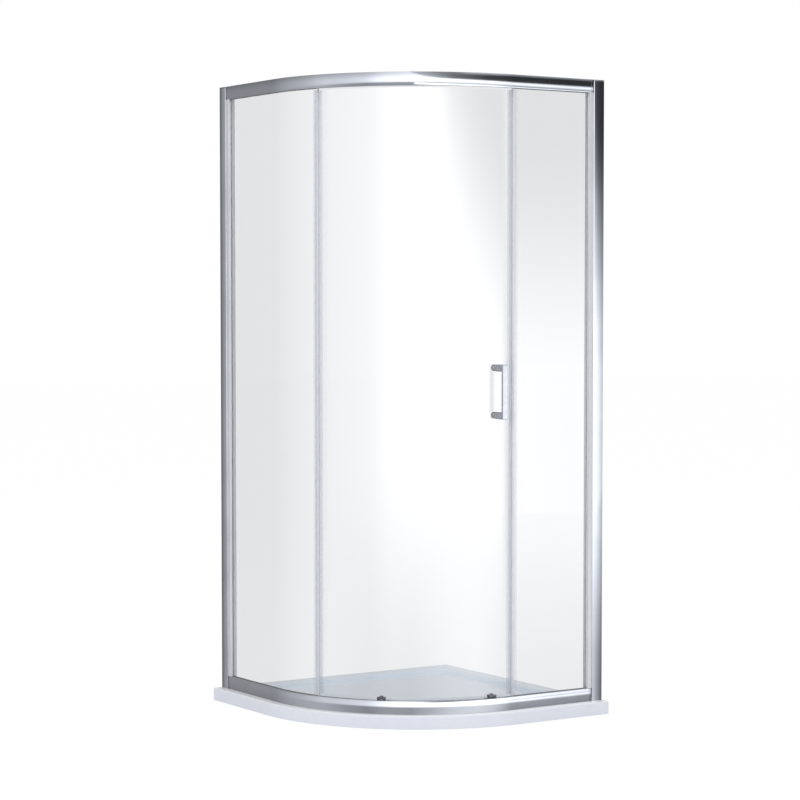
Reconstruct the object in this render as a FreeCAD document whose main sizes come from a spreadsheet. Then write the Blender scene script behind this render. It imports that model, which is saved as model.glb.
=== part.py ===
import FreeCAD, Part
import collections
import math
import os
import Sketcher

# A quadrant shower enclosure on its low shower tray. Two fixed glass panels stand between curved
# aluminium rails, and one curved glass door rolls behind them on grooved wheels. Everything bends
# round one vertical line, the arc centre: the rails, the bent glass and the sliding door.
#
# Frame: +Z up, origin in the middle of the tray's footprint on the floor. The room corner is at
# +X +Y, so the left wall profile stands against the wall at +Y and the right one at +X.
#
# Measures used throughout, besides the plain ones:
#   inward  distance from the rails' outer face towards the inside of the shower
#   rise    height above the glass edge of a rail: upwards in the top rail, downwards in the other
#   out     distance from a wall, along the glass that stands square to it

SIZES = {
    # shower tray
    "tray_side": 900,
    "tray_radius": 550,
    "tray_height": 40,
    "tray_edge_round": 5,
    "tray_rim": 60,
    "basin_depth": 16,
    "basin_bank": 16,
    "basin_corner": 50,
    "basin_fall": 6,
    "waste_hole_radius": 45,
    "waste_recess_radius": 58,
    "waste_recess_depth": 2.5,
    "waste_from_front": 160,
    # where the enclosure stands on the tray
    "enclosure_height": 1910,
    "enclosure_inset": 27,
    "tile_gap": 8,
    # extruded aluminium rails
    "metal_wall": 1.6,
    "rail_height": 40,
    "rail_bulge": 2,
    "rail_end_out": 49,
    "glass_inward": 12.5,
    "groove_depth": 20,
    "track_inward": 23.6,
    "bead_width": 2,
    "bead_height": 3,
    "shelf_rise": 9,
    "shelf_thickness": 2,
    "hood_inward": 42.5,
    "hood_drop": 5.5,
    # glass and its seals
    "glass_thickness": 6,
    "gasket_room": 1,
    "glass_rebate": 17.5,
    "gasket_lip": 1.2,
    "slack": 0.15,
    "gap": 0.3,
    "left_glass_angle": 201.05,
    "right_glass_start": 10.8,
    "seal_wall": 1.2,
    "seal_grip": 13,
    # wall profiles and the side profiles that slide in them
    "wall_profile_depth": 38,
    "wall_profile_recess": 0.4,
    "wall_profile_width": 27.6,
    "wall_profile_bulge": 1.6,
    "wall_profile_wall": 1.8,
    "cap_height": 5,
    "cap_plug": 4,
    "side_profile_start": 4,
    "side_profile_out": 53,
    "side_profile_recess": 2.4,
    "side_profile_width": 23.5,
    "glass_edge_out": 38,
    "fixing_spacing": 850,
    "fixing_hole_radius": 3,
    "profile_screw_radius": 2,
    "profile_screw_out": 19,
    "profile_screw_spacing": 800,
    "screw_head_overhang": 1.9,
    "corner_plug": 12,
    "corner_screw_radius": 2,
    "corner_screw_length": 8,
    "corner_screw_from_end": 6,
    # sliding door
    "door_inward": 33,
    "door_left_angle": 199.15,
    "door_right_angle": 272.7,
    "door_foot_gap": 7,
    "door_head_rise": 32,
    "handle_angle": 266.5,
    "handle_height": 962.5,
    "handle_length": 164,
    "handle_bar_width": 17,
    "handle_bar_thickness": 10,
    "handle_standoff": 33,
    "handle_leg": 21,
    "handle_bolt_radius": 3,
    "handle_bolt_bite": 15,
    "knob_socket": 11,
    "knob_radius": 10,
    "knob_length": 22,
    "washer_thickness": 1,
    # rollers
    "left_roller_angle": 224.3,
    "right_roller_angle": 263.8,
    "door_travel": 42,
    "wheel_radius": 11,
    "wheel_groove_radius": 9,
    "wheel_width": 7,
    "wheel_track_gap": 0.2,
    "bearing_radius": 5,
    "axle_radius": 2.5,
    "running_gap": 0.05,
    "roller_bolt_radius": 4,
    "roller_offset": 3,
    "pin_flange": 3,
    "roller_cap_radius": 10,
    "roller_cap_length": 5,
    "housing_width": 26,
    "housing_top": 48,
    "housing_depth": 12,
    "housing_bar": 5,
    "housing_plate": 2,
    "spring_shelf_drop": 16,
    "spring_shelf_thickness": 2,
    "release_width": 10.2,
    "release_thickness": 3,
    "release_button": 3.3,
    "release_travel": 3,
    "spring_wire": 0.6,
    "spring_radius": 2.6,
    "spring_length": 6.5,
    "spring_turns": 4,
    "guide_width": 8,
    "guide_gap": 4,
    "guide_foot_drop": 6,
    "guide_head_drop": 3,
    "guide_setback": 2,
    "guide_round": 1.5,
    "stop_length": 10,
}


class Length:
    """A size with its value and the formula that ties it to the sheet of sizes."""

    def __init__(self, value, formula):
        self.value = float(value)
        self.formula = formula

    def __add__(self, other):
        other = length(other)
        return Length(self.value + other.value, f"({self.formula} + {other.formula})")

    def __sub__(self, other):
        other = length(other)
        return Length(self.value - other.value, f"({self.formula} - {other.formula})")

    def __mul__(self, other):
        other = length(other)
        return Length(self.value * other.value, f"({self.formula} * {other.formula})")

    def __truediv__(self, other):
        other = length(other)
        return Length(self.value / other.value, f"({self.formula} / {other.formula})")

    def __radd__(self, other):
        return length(other) + self

    def __rsub__(self, other):
        return length(other) - self

    def __rmul__(self, other):
        return length(other) * self

    def __neg__(self):
        return Length(-self.value, f"(0 - {self.formula})")


def length(value):
    """A plain number as a Length; a Length stays as it is."""
    if isinstance(value, Length):
        return value
    return Length(value, f"({float(value)})")


def sine(angle):
    return Length(math.sin(math.radians(angle.value)), f"sin({angle.formula} * 1 deg)")


def cosine(angle):
    return Length(math.cos(math.radians(angle.value)), f"cos({angle.formula} * 1 deg)")


def root(square):
    return Length(math.sqrt(square.value), f"sqrt({square.formula})")


def arc_angle(distance, radius):
    """The angle in degrees that a short distance takes up on an arc."""
    return distance / radius * (180 / math.pi)


def fall(reach, radius):
    """How far an arc has dropped below its tangent after a given reach."""
    return radius - root(radius * radius - reach * reach)


# ---------------------------------------------------------------- document and sheet of sizes

doc = FreeCAD.newDocument("quadrant_enclosure")
sheet = doc.addObject("Spreadsheet::Sheet", "Sizes")
for row, (alias, number) in enumerate(SIZES.items(), start=1):
    sheet.set(f"A{row}", alias)
    sheet.set(f"B{row}", str(number))
    sheet.setAlias(f"B{row}", alias)
doc.recompute()

Sheet = collections.namedtuple("Sheet", SIZES)
S = Sheet(*(Length(number, f"Sizes.{alias}") for alias, number in SIZES.items()))

# ---------------------------------------------------------------- sizes worked out from the sheet

half_side = S.tray_side / 2
centre = S.tray_radius - half_side
rim_top = S.tray_height
top = rim_top + S.enclosure_height
top_rail_foot = top - S.rail_height
bottom_rail_head = rim_top + S.rail_height

face_radius = S.tray_radius - S.enclosure_inset
wall_reach = half_side - centre - S.tile_gap
straight_run = wall_reach - S.rail_end_out
block_end = wall_reach - S.wall_profile_depth - S.gap
side_outer = S.side_profile_recess
side_inner = S.side_profile_recess + S.side_profile_width

groove_width = S.glass_thickness + S.gasket_room * 2
groove_outer = S.glass_inward - groove_width / 2
groove_inner = S.glass_inward + groove_width / 2
leg_inner = groove_inner + 2
bead_outer = S.track_inward - S.bead_width / 2
bead_inner = S.track_inward + S.bead_width / 2
shelf_top = S.shelf_rise + S.shelf_thickness
bead_top = shelf_top + S.bead_height

glass_outer_radius = face_radius - S.glass_inward + S.glass_thickness / 2
glass_inner_radius = glass_outer_radius - S.glass_thickness
glass_foot = bottom_rail_head - S.glass_rebate
glass_head = top_rail_foot + S.glass_rebate

door_outer_radius = face_radius - S.door_inward
door_inner_radius = door_outer_radius - S.glass_thickness
door_foot = rim_top + S.door_foot_gap
door_head = top_rail_foot + S.door_head_rise
door_sweep = S.door_right_angle - S.door_left_angle

track_radius = face_radius - S.track_inward
wheel_inner = track_radius - S.wheel_width / 2
wheel_outer = track_radius + S.wheel_width / 2
wheel_drop = S.wheel_groove_radius + S.wheel_track_gap
top_axle_height = top_rail_foot + bead_top + wheel_drop
bottom_axle_height = bottom_rail_head - bead_top - wheel_drop
top_hole_height = top_axle_height - S.roller_offset
bottom_hole_height = rim_top + S.rail_height / 2 + 4

seal_foot = bottom_rail_head + 4
seal_head = top_rail_foot - 4
housing_head = rim_top + S.housing_top

# ---------------------------------------------------------------- drawing and solid features

Corner = collections.namedtuple("Corner", "x y bow", defaults=(None,))
sub_parts = {}


def new_body(name):
    body = doc.addObject("PartDesign::Body", name)
    body.Label = name
    return body


def keep(name, item):
    """Registers a finished sub-part under the name of its file."""
    item.Label = name
    sub_parts[name] = item
    return item


def bind(item, path, value):
    """Ties a property, a constraint or part of a placement to the sheet of sizes."""
    if "Sizes." in value.formula:
        item.setExpression(path, value.formula)


def place(item, x, y, z, turn=0):
    """Puts a piece at x, y, z and turns it about the vertical."""
    x, y, z, turn = length(x), length(y), length(z), length(turn)
    spin = FreeCAD.Rotation(FreeCAD.Vector(0, 0, 1), turn.value)
    item.Placement = FreeCAD.Placement(FreeCAD.Vector(x.value, y.value, z.value), spin)
    bind(item, "Placement.Base.x", x)
    bind(item, "Placement.Base.y", y)
    bind(item, "Placement.Base.z", z)
    bind(item, "Placement.Rotation.Angle", turn)
    return item


def place_on_arc(item, angle, z, aside=0, radius=0):
    """Puts a piece's own X axis along the radius at an angle: its origin lies at that radius,
    moved aside along the arc's tangent."""
    angle = length(angle)
    aside = length(aside)
    radius = length(radius)
    x = centre + cosine(angle) * radius - sine(angle) * aside
    y = centre + sine(angle) * radius + cosine(angle) * aside
    return place(item, x, y, z, angle)


def origin_part(body, role):
    return [part for part in body.Origin.OriginFeatures if part.Role == role][0]


def new_sketch(body, plane, offset=0):
    """A sketch on one of the body's own planes, moved along the plane's normal."""
    number = len(body.Group)
    sketch = body.newObject("Sketcher::SketchObject", f"{body.Name}_sketch_{number}")
    sketch.AttachmentSupport = [(origin_part(body, plane), "")]
    sketch.MapMode = "FlatFace"
    offset = length(offset)
    move = FreeCAD.Vector(0, 0, offset.value)
    sketch.AttachmentOffset = FreeCAD.Placement(move, FreeCAD.Rotation())
    bind(sketch, "AttachmentOffset.Base.z", offset)
    return sketch


def tie_point(sketch, edge, end, x, y):
    """Fixes a point of a sketch by its two distances from the sketch's origin."""
    for kind, value in (("DistanceX", length(x)), ("DistanceY", length(y))):
        constraint = Sketcher.Constraint(kind, -1, 1, edge, end, value.value)
        number = sketch.addConstraint(constraint)
        bind(sketch, f"Constraints[{number}]", value)


def tie_radius(sketch, edge, radius):
    number = sketch.addConstraint(Sketcher.Constraint("Radius", edge, radius.value))
    bind(sketch, f"Constraints[{number}]", radius)


def draw_loop(sketch, corners):
    """Draws a closed loop. A corner's bow is how far the edge after it bulges to its right."""
    corners = [Corner(length(c.x), length(c.y), c.bow) for c in corners]
    points = [FreeCAD.Vector(c.x.value, c.y.value, 0) for c in corners]
    edges = []
    for here, corner in enumerate(corners):
        start = points[here]
        end = points[(here + 1) % len(points)]
        if corner.bow is None:
            shape = Part.LineSegment(start, end)
        else:
            run = end - start
            right = FreeCAD.Vector(run.y, -run.x, 0).normalize()
            shape = Part.Arc(start, (start + end) / 2 + right * corner.bow.value, end)
        edge = sketch.addGeometry(shape, False)
        first = 1 if sketch.getPoint(edge, 1).distanceToPoint(start) < 1e-6 else 2
        edges.append((edge, first, 3 - first))
    for here, (edge, first, last) in enumerate(edges):
        following = edges[(here + 1) % len(edges)]
        joined = Sketcher.Constraint("Coincident", edge, last, following[0], following[1])
        sketch.addConstraint(joined)
    for here, (edge, first, last) in enumerate(edges):
        corner = corners[here]
        beyond = corners[(here + 1) % len(corners)]
        tie_point(sketch, edge, first, corner.x, corner.y)
        if corner.bow is not None:
            bow = corner.bow if corner.bow.value > 0 else -corner.bow
            across = beyond.x - corner.x
            along = beyond.y - corner.y
            chord_square = across * across + along * along
            tie_radius(sketch, edge, chord_square / (bow * 8) + bow / 2)


def draw_circle(sketch, x, y, radius):
    x, y, radius = length(x), length(y), length(radius)
    middle = FreeCAD.Vector(x.value, y.value, 0)
    edge = sketch.addGeometry(Part.Circle(middle, FreeCAD.Vector(0, 0, 1), radius.value), False)
    tie_point(sketch, edge, 3, x, y)
    tie_radius(sketch, edge, radius)


def rectangle(x_low, y_low, x_high, y_high):
    low_edge = [Corner(x_low, y_low), Corner(x_high, y_low)]
    high_edge = [Corner(x_high, y_high), Corner(x_low, y_high)]
    return low_edge + high_edge


def pad(body, sketch, distance, backwards=False):
    feature = body.newObject("PartDesign::Pad", f"{sketch.Name}_pad")
    feature.Profile = sketch
    distance = length(distance)
    feature.Length = distance.value
    bind(feature, "Length", distance)
    feature.Reversed = backwards
    return feature


def pocket(body, sketch, distance, backwards=False):
    """Cuts a sketch's shape out of a body, and checks that it took something away."""
    doc.recompute()
    before = body.Shape.Volume
    feature = body.newObject("PartDesign::Pocket", f"{sketch.Name}_pocket")
    feature.Profile = sketch
    distance = length(distance)
    feature.Length = distance.value
    bind(feature, "Length", distance)
    feature.Reversed = backwards
    doc.recompute()
    if body.Shape.Volume >= before - 1e-6:
        raise RuntimeError(f"{feature.Name} cuts nothing")
    return feature


def revolve(body, sketch, axis, angle=360):
    feature = body.newObject("PartDesign::Revolution", f"{sketch.Name}_turn")
    feature.Profile = sketch
    feature.ReferenceAxis = (origin_part(body, axis), [""])
    angle = length(angle)
    feature.Angle = angle.value
    bind(feature, "Angle", angle)
    return feature


def level_edge(edge, height):
    """True for an edge that lies flat at a height."""
    box = edge.BoundBox
    return box.ZLength < 1e-3 and abs(box.ZMin - height.value) < 1e-3


def dress_edges(body, kind, chosen, size):
    """Fillets or chamfers the edges of a body that a test picks out."""
    doc.recompute()
    base = body.Tip
    names = [f"Edge{n}" for n, edge in enumerate(base.Shape.Edges, start=1) if chosen(edge)]
    feature = body.newObject(f"PartDesign::{kind}", f"{body.Name}_{kind.lower()}")
    feature.Base = (base, names)
    path = "Radius" if kind == "Fillet" else "Size"
    setattr(feature, path, size.value)
    bind(feature, path, size)
    return feature


def turned_solid(name, corners, angle, z, aside=0):
    """A round piece whose axis lies along the radius at an angle: x is its distance from the
    arc centre, y its own radius."""
    body = new_body(name)
    sketch = new_sketch(body, "XZ_Plane")
    draw_loop(sketch, corners)
    revolve(body, sketch, "X_Axis")
    return place_on_arc(body, angle, z, aside)


def drill(name, near, far, radius, angle, z, aside=0):
    return turned_solid(name, rectangle(near, 0, far, radius), angle, z, aside)


def grouped(name, members):
    """Separate solids that share one file, such as a set of screws."""
    group = doc.addObject("Part::Compound", name)
    group.Links = members
    return keep(name, group)


def cut_away(name, base, tools):
    """A piece with holes made by drills."""
    if len(tools) > 1:
        tool = doc.addObject("Part::MultiFuse", f"{name}_drills")
        tool.Shapes = tools
    else:
        tool = tools[0]
    result = doc.addObject("Part::Cut", name)
    result.Base = base
    result.Tool = tool
    return keep(name, result)


# ---------------------------------------------------------------- the two sides of the enclosure

Side = collections.namedtuple("Side", "name plane sign across along")
LEFT = Side("left", "XZ_Plane", -1, 180, 90)
RIGHT = Side("right", "YZ_Plane", 1, 270, 0)
SIDES = (LEFT, RIGHT)


def section_point(inward, z):
    """A point of a section square to a rail, in a sketch on the side's own plane."""
    return inward - face_radius, z


def plan_point(side, inward, out):
    """A point in plan near a wall, seen from the arc centre."""
    if side is LEFT:
        return inward - face_radius, wall_reach - out
    return wall_reach - out, inward - face_radius


def draw_section(sketch, corners):
    """Draws one outline of a section from corners given as inward and height."""
    drawn = []
    for corner in corners:
        x, y = section_point(length(corner.x), length(corner.y))
        drawn.append(Corner(x, y, corner.bow))
    draw_loop(sketch, drawn)


def run_section(body, side, loops, start, distance):
    """Extrudes a section along a straight, away from the arc."""
    sketch = new_sketch(body, side.plane, length(start) * side.sign)
    for corners in loops:
        draw_section(sketch, corners)
    return pad(body, sketch, distance, backwards=side is LEFT)


def bend_section(body, loops, angle):
    """Turns a section about the arc centre, from the left end of the arc."""
    sketch = new_sketch(body, "XZ_Plane")
    for corners in loops:
        draw_section(sketch, corners)
    return revolve(body, sketch, "Z_Axis", angle)


def rise_plan(body, side, loops, foot, height):
    """Extrudes an outline near a wall upwards. Its corners are given as inward and out."""
    sketch = new_sketch(body, "XY_Plane", foot)
    for corners in loops:
        drawn = []
        for corner in corners:
            x, y = plan_point(side, length(corner.x), length(corner.y))
            bow = corner.bow
            if bow is not None and side is RIGHT:
                bow = -bow
            drawn.append(Corner(x, y, bow))
        draw_loop(sketch, drawn)
    return pad(body, sketch, height)


# ---------------------------------------------------------------- shower tray


def quadrant_loop(inset, corner_radius=None):
    """The tray's outline moved inwards, with round corners if a radius is given."""
    reach = half_side - inset
    front = (S.tray_radius - inset) * (1 - math.cos(math.pi / 4))
    curve = [Corner(-reach, centre, front), Corner(centre, -reach)]
    if corner_radius is None:
        return curve + [Corner(reach, -reach), Corner(reach, reach), Corner(-reach, reach)]
    short = reach - corner_radius
    bow = corner_radius * (1 - math.cos(math.pi / 4))
    right = [Corner(short, -reach, bow), Corner(reach, -short)]
    back = [Corner(reach, short, bow), Corner(short, reach)]
    left = [Corner(-short, reach, bow), Corner(-reach, short)]
    return curve + right + back + left


def make_tray():
    body = new_body("tray_slab")
    outline = new_sketch(body, "XY_Plane")
    draw_loop(outline, quadrant_loop(length(0)))
    pad(body, outline, S.tray_height)

    def on_top(edge):
        return level_edge(edge, S.tray_height)

    dress_edges(body, "Fillet", on_top, S.tray_edge_round)
    brim = new_sketch(body, "XY_Plane", S.tray_height)
    draw_loop(brim, quadrant_loop(S.tray_rim, S.basin_corner))
    floor_height = S.tray_height - S.basin_depth
    floor_inset = S.tray_rim + S.basin_bank
    floor = new_sketch(body, "XY_Plane", floor_height)
    draw_loop(floor, quadrant_loop(floor_inset, S.basin_corner - S.basin_bank))
    basin = body.newObject("PartDesign::SubtractiveLoft", "basin")
    basin.Profile = brim
    basin.Sections = [floor]

    # the floor falls from the basin's bank to the waste hole, as a very flat cone
    waste = centre - (S.tray_radius - S.waste_from_front) * math.cos(math.pi / 4)
    recess_height = floor_height - S.basin_fall - S.waste_recess_depth
    recess = new_sketch(body, "XY_Plane", floor_height)
    draw_circle(recess, waste, waste, S.waste_recess_radius)
    pocket(body, recess, S.basin_fall + S.waste_recess_depth)
    hole = new_sketch(body, "XY_Plane", floor_height)
    draw_circle(hole, waste, waste, S.waste_hole_radius)
    pocket(body, hole, recess_height + S.tray_height)

    slab = new_body("basin_fall_slab")
    slab_outline = new_sketch(slab, "XY_Plane", floor_height - S.basin_fall)
    draw_loop(slab_outline, quadrant_loop(floor_inset, S.basin_corner - S.basin_bank))
    pad(slab, slab_outline, S.basin_fall)
    cone = doc.addObject("Part::Cone", "basin_fall_cone")
    bind(cone, "Radius1", S.waste_recess_radius + 2)
    bind(cone, "Radius2", S.tray_side)
    bind(cone, "Height", S.basin_fall)
    place(cone, waste, waste, floor_height - S.basin_fall)
    fall = doc.addObject("Part::Common", "basin_fall")
    fall.Base = slab
    fall.Tool = cone
    cut_away("shower_tray", body, [fall])


# ---------------------------------------------------------------- rails


def rail_loops(upright):
    """The rail's section: a hollow nose with a rounded face, a groove for the fixed glass and a
    shelf whose raised bead carries the wheels. The top rail also has a hood over the wheels."""
    wall = S.metal_wall
    height = S.rail_height
    edge = S.rail_bulge

    def at(inward, rise, bow=None):
        z = length(rise) if upright else height - rise
        if bow is not None and not upright:
            bow = -bow
        return Corner(inward, z, bow)

    nose = [at(edge, height), at(edge, 0)]
    nose[0] = at(edge, height, S.rail_bulge)
    groove = [
        at(groove_outer, 0),
        at(groove_outer, S.groove_depth),
        at(groove_inner, S.groove_depth),
        at(groove_inner, 0),
    ]
    shelf = [
        at(leg_inner, 0),
        at(leg_inner, S.shelf_rise),
        at(bead_inner, S.shelf_rise),
        at(bead_inner, bead_top),
        at(bead_outer, bead_top),
        at(bead_outer, shelf_top),
        at(leg_inner, shelf_top),
    ]
    if upright:
        hood_underside = height - wall
        hood = [
            at(leg_inner, hood_underside),
            at(S.hood_inward - wall, hood_underside),
            at(S.hood_inward - wall, height - S.hood_drop),
            at(S.hood_inward, height - S.hood_drop),
            at(S.hood_inward, height),
        ]
    else:
        hood = [at(leg_inner, height)]
    chamber = [
        at(edge + wall, height - wall, S.rail_bulge),
        at(edge + wall, wall),
        at(groove_outer - wall, wall),
        at(groove_outer - wall, S.groove_depth + wall),
        at(leg_inner - wall, S.groove_depth + wall),
        at(leg_inner - wall, height - wall),
    ]
    return [nose + groove + shelf + hood, chamber]


def corner_screw_height(upright, foot):
    """The corner screws stand halfway between the glass groove and the rail's back."""
    rise = (S.rail_height + S.groove_depth) / 2
    return foot + rise if upright else foot + S.rail_height - rise


def corner_screw_hole(name, side, upright, foot, slack):
    near = face_radius - leg_inner - 1
    far = face_radius - leg_inner + S.corner_screw_length
    z = corner_screw_height(upright, foot)
    return drill(name, near, far, S.corner_screw_radius + slack, side.across, z, screw_row(side))


def screw_row(side):
    """Where the corner screws stand along the arc's end tangent."""
    return (straight_run - S.corner_screw_from_end) * side.sign


def make_rail(name, upright, foot):
    body = new_body(f"{name}_extrusion")
    loops = rail_loops(upright)
    bend_section(body, loops, 90)
    for side in SIDES:
        run_section(body, side, loops, 0, straight_run)
    place(body, centre, centre, foot)
    tools = []
    for side in SIDES:
        tool_name = f"{name}_drill_{side.name}"
        tools.append(corner_screw_hole(tool_name, side, upright, foot, S.slack))
    cut_away(name, body, tools)


def gasket_loop(upright):
    """A channel of soft strip round the edge of the fixed glass, in the rail's groove."""
    glass_outer = S.glass_inward - S.glass_thickness / 2
    glass_inner = S.glass_inward + S.glass_thickness / 2
    height = S.rail_height

    def at(inward, rise):
        return Corner(inward, length(rise) if upright else height - rise)

    lip = -S.gasket_lip
    return [
        at(groove_outer, lip),
        at(glass_outer, lip),
        at(glass_outer, S.glass_rebate),
        at(glass_inner, S.glass_rebate),
        at(glass_inner, lip),
        at(groove_inner, lip),
        at(groove_inner, S.groove_depth),
        at(groove_outer, S.groove_depth),
    ]


def make_rail_gaskets(level, upright, foot):
    left = new_body(f"{level}_gasket_left")
    bend_section(left, [gasket_loop(upright)], S.left_glass_angle - 180)
    run_section(left, LEFT, [gasket_loop(upright)], 0, block_end)
    right = new_body(f"{level}_gasket_right")
    start = S.right_glass_start
    run_section(right, RIGHT, [gasket_loop(upright)], start, block_end - start)
    for body in (left, right):
        place(body, centre, centre, foot)
        keep(body.Name, body)


# ---------------------------------------------------------------- corner blocks and side profiles


def make_corner_block(level, side, upright, foot):
    """A cast block between a rail's end and the wall profile: its face carries on the rail's, a
    tongue stands in the wall profile and a plug fits the rail's chamber."""
    name = f"corner_block_{level}_{side.name}"
    body = new_body(f"{name}_casting")
    height = S.rail_height
    edge = S.rail_bulge

    def at(inward, rise, bow=None):
        z = length(rise) if upright else height - rise
        if bow is not None and not upright:
            bow = -bow
        return Corner(inward, z, bow)

    face = [
        at(edge, height, S.rail_bulge),
        at(edge, 0),
        at(groove_outer, 0),
        at(groove_outer, S.groove_depth),
        at(groove_inner, S.groove_depth),
        at(groove_inner, 0),
        at(side_inner, 0),
        at(side_inner, height),
    ]
    run_section(body, side, [face], straight_run, block_end - straight_run)

    # the tongue stops short of the cap's plug, and leaves room for the glass edge
    tongue_reach = wall_reach - S.side_profile_start
    tongue_crown = height - S.cap_height - S.cap_plug - 1
    tongue = [
        at(side_outer, tongue_crown),
        at(side_outer, S.groove_depth),
        at(side_inner, S.groove_depth),
        at(side_inner, tongue_crown),
    ]
    run_section(body, side, [tongue], block_end, tongue_reach - block_end)

    # plug in the rail's chamber, above the glass groove
    wall = S.metal_wall + S.gap
    plug_length = S.corner_plug
    plug = [
        at(edge + wall + 2, S.groove_depth + wall),
        at(leg_inner - wall, S.groove_depth + wall),
        at(leg_inner - wall, height - wall),
        at(edge + wall + 2, height - wall),
    ]
    run_section(body, side, [plug], straight_run - plug_length, plug_length)
    place(body, centre, centre, foot)
    cut_away(name, body, [corner_screw_hole(f"{name}_drill", side, upright, foot, 0)])


def make_side_profile(side):
    """The adjusting profile: a hollow extrusion that slides in the wall profile and holds the
    edge of the fixed glass in a groove."""
    name = f"side_profile_{side.name}"
    wall = S.metal_wall
    start = S.side_profile_start
    end = S.side_profile_out
    pit = S.glass_edge_out - 2
    outline = [
        Corner(side_outer, start),
        Corner(side_inner, start),
        Corner(side_inner, end),
        Corner(groove_inner, end),
        Corner(groove_inner, pit),
        Corner(groove_outer, pit),
        Corner(groove_outer, end),
        Corner(side_outer, end),
    ]
    chamber = [
        Corner(side_outer + wall, start + wall),
        Corner(side_inner - wall, start + wall),
        Corner(side_inner - wall, end - wall),
        Corner(groove_inner + wall, end - wall),
        Corner(groove_inner + wall, pit - wall),
        Corner(groove_outer - wall, pit - wall),
        Corner(groove_outer - wall, end - wall),
        Corner(side_outer + wall, end - wall),
    ]
    body = new_body(f"{name}_solid")
    height = top_rail_foot - bottom_rail_head
    rise_plan(body, side, [outline, chamber], length(0), height)
    place(body, centre, centre, bottom_rail_head)
    near = face_radius - side_inner - 1
    far = face_radius - side_inner + wall + 1
    hole_radius = S.profile_screw_radius
    tools = []
    for number, z in enumerate(profile_screw_heights()):
        tool_name = f"{name}_drill_{number}"
        tool = drill(tool_name, near, far, hole_radius, side.across, z, screw_aside(side))
        tools.append(tool)
    cut_away(name, body, tools)


def profile_screw_heights():
    middle = rim_top + S.enclosure_height / 2
    return [middle + S.profile_screw_spacing * step for step in (-1, 0, 1)]


def fixing_heights():
    middle = rim_top + S.enclosure_height / 2
    return [middle + S.fixing_spacing * step for step in (-1, 0, 1)]


def screw_aside(side):
    """How far along the arc's end tangent the profile screws stand."""
    return (wall_reach - S.profile_screw_out) * side.sign


def wall_profile_outline():
    """The wall profile's outer shape in plan, with a slightly rounded face."""
    low = S.wall_profile_recess
    return [
        Corner(low, 0),
        Corner(S.wall_profile_width + low, 0),
        Corner(S.wall_profile_width + low, S.wall_profile_depth),
        Corner(low, S.wall_profile_depth, -S.wall_profile_bulge),
    ]


def make_wall_profile(side):
    """A channel screwed to the wall, which the side profile slides in."""
    name = f"wall_profile_{side.name}"
    wall = S.wall_profile_wall
    low = S.wall_profile_recess
    high = S.wall_profile_width + low
    depth = S.wall_profile_depth
    outline = [
        Corner(low, 0),
        Corner(high, 0),
        Corner(high, depth),
        Corner(high - wall, depth),
        Corner(high - wall, wall),
        Corner(low + wall, wall),
        Corner(low + wall, depth),
        Corner(low, depth, -S.wall_profile_bulge),
    ]
    body = new_body(f"{name}_solid")
    height = S.enclosure_height - S.cap_height
    rise_plan(body, side, [outline], length(0), height)
    place(body, centre, centre, rim_top)
    tools = []
    fixing_middle = face_radius - S.wall_profile_width / 2 - low
    for number, z in enumerate(fixing_heights()):
        near = wall_reach - wall - 1
        far = wall_reach + 1
        aside = -fixing_middle * side.sign
        radius = S.fixing_hole_radius
        tools.append(drill(f"{name}_drill_{number}", near, far, radius, side.along, z, aside))
    near = face_radius - high - 1
    far = face_radius - high + wall + 1
    hole_radius = S.profile_screw_radius + S.slack
    for number, z in enumerate(profile_screw_heights(), start=len(tools)):
        tool_name = f"{name}_drill_{number}"
        tool = drill(tool_name, near, far, hole_radius, side.across, z, screw_aside(side))
        tools.append(tool)
    cut_away(name, body, tools)


def make_wall_cap(side):
    """A moulded cap that closes the top of the wall profile."""
    name = f"wall_cap_{side.name}"
    wall = S.wall_profile_wall + S.slack
    low = S.wall_profile_recess
    high = S.wall_profile_width + low
    body = new_body(name)
    rise_plan(body, side, [wall_profile_outline()], length(0), S.cap_height)

    def on_top(edge):
        return level_edge(edge, S.cap_height)

    dress_edges(body, "Chamfer", on_top, S.cap_height / 2)
    plug = rectangle(low + wall, wall, high - wall, S.wall_profile_depth - wall)
    rise_plan(body, side, [plug], -S.cap_plug, S.cap_plug)
    place(body, centre, centre, top - S.cap_height)
    keep(name, body)


def make_side_gasket(side):
    """A soft channel that holds the glass edge in the side profile."""
    name = f"side_gasket_{side.name}"
    glass_outer = S.glass_inward - S.glass_thickness / 2
    glass_inner = S.glass_inward + S.glass_thickness / 2
    lip = S.side_profile_out + S.gasket_lip
    crown = S.glass_edge_out - 2
    outline = [
        Corner(groove_outer, crown),
        Corner(groove_inner, crown),
        Corner(groove_inner, lip),
        Corner(glass_inner, lip),
        Corner(glass_inner, S.glass_edge_out),
        Corner(glass_outer, S.glass_edge_out),
        Corner(glass_outer, lip),
        Corner(groove_outer, lip),
    ]
    body = new_body(name)
    foot = bottom_rail_head + S.gasket_lip + S.gap
    head = top_rail_foot - S.gasket_lip - S.gap
    rise_plan(body, side, [outline], length(0), head - foot)
    place(body, centre, centre, foot)
    keep(name, body)


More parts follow.
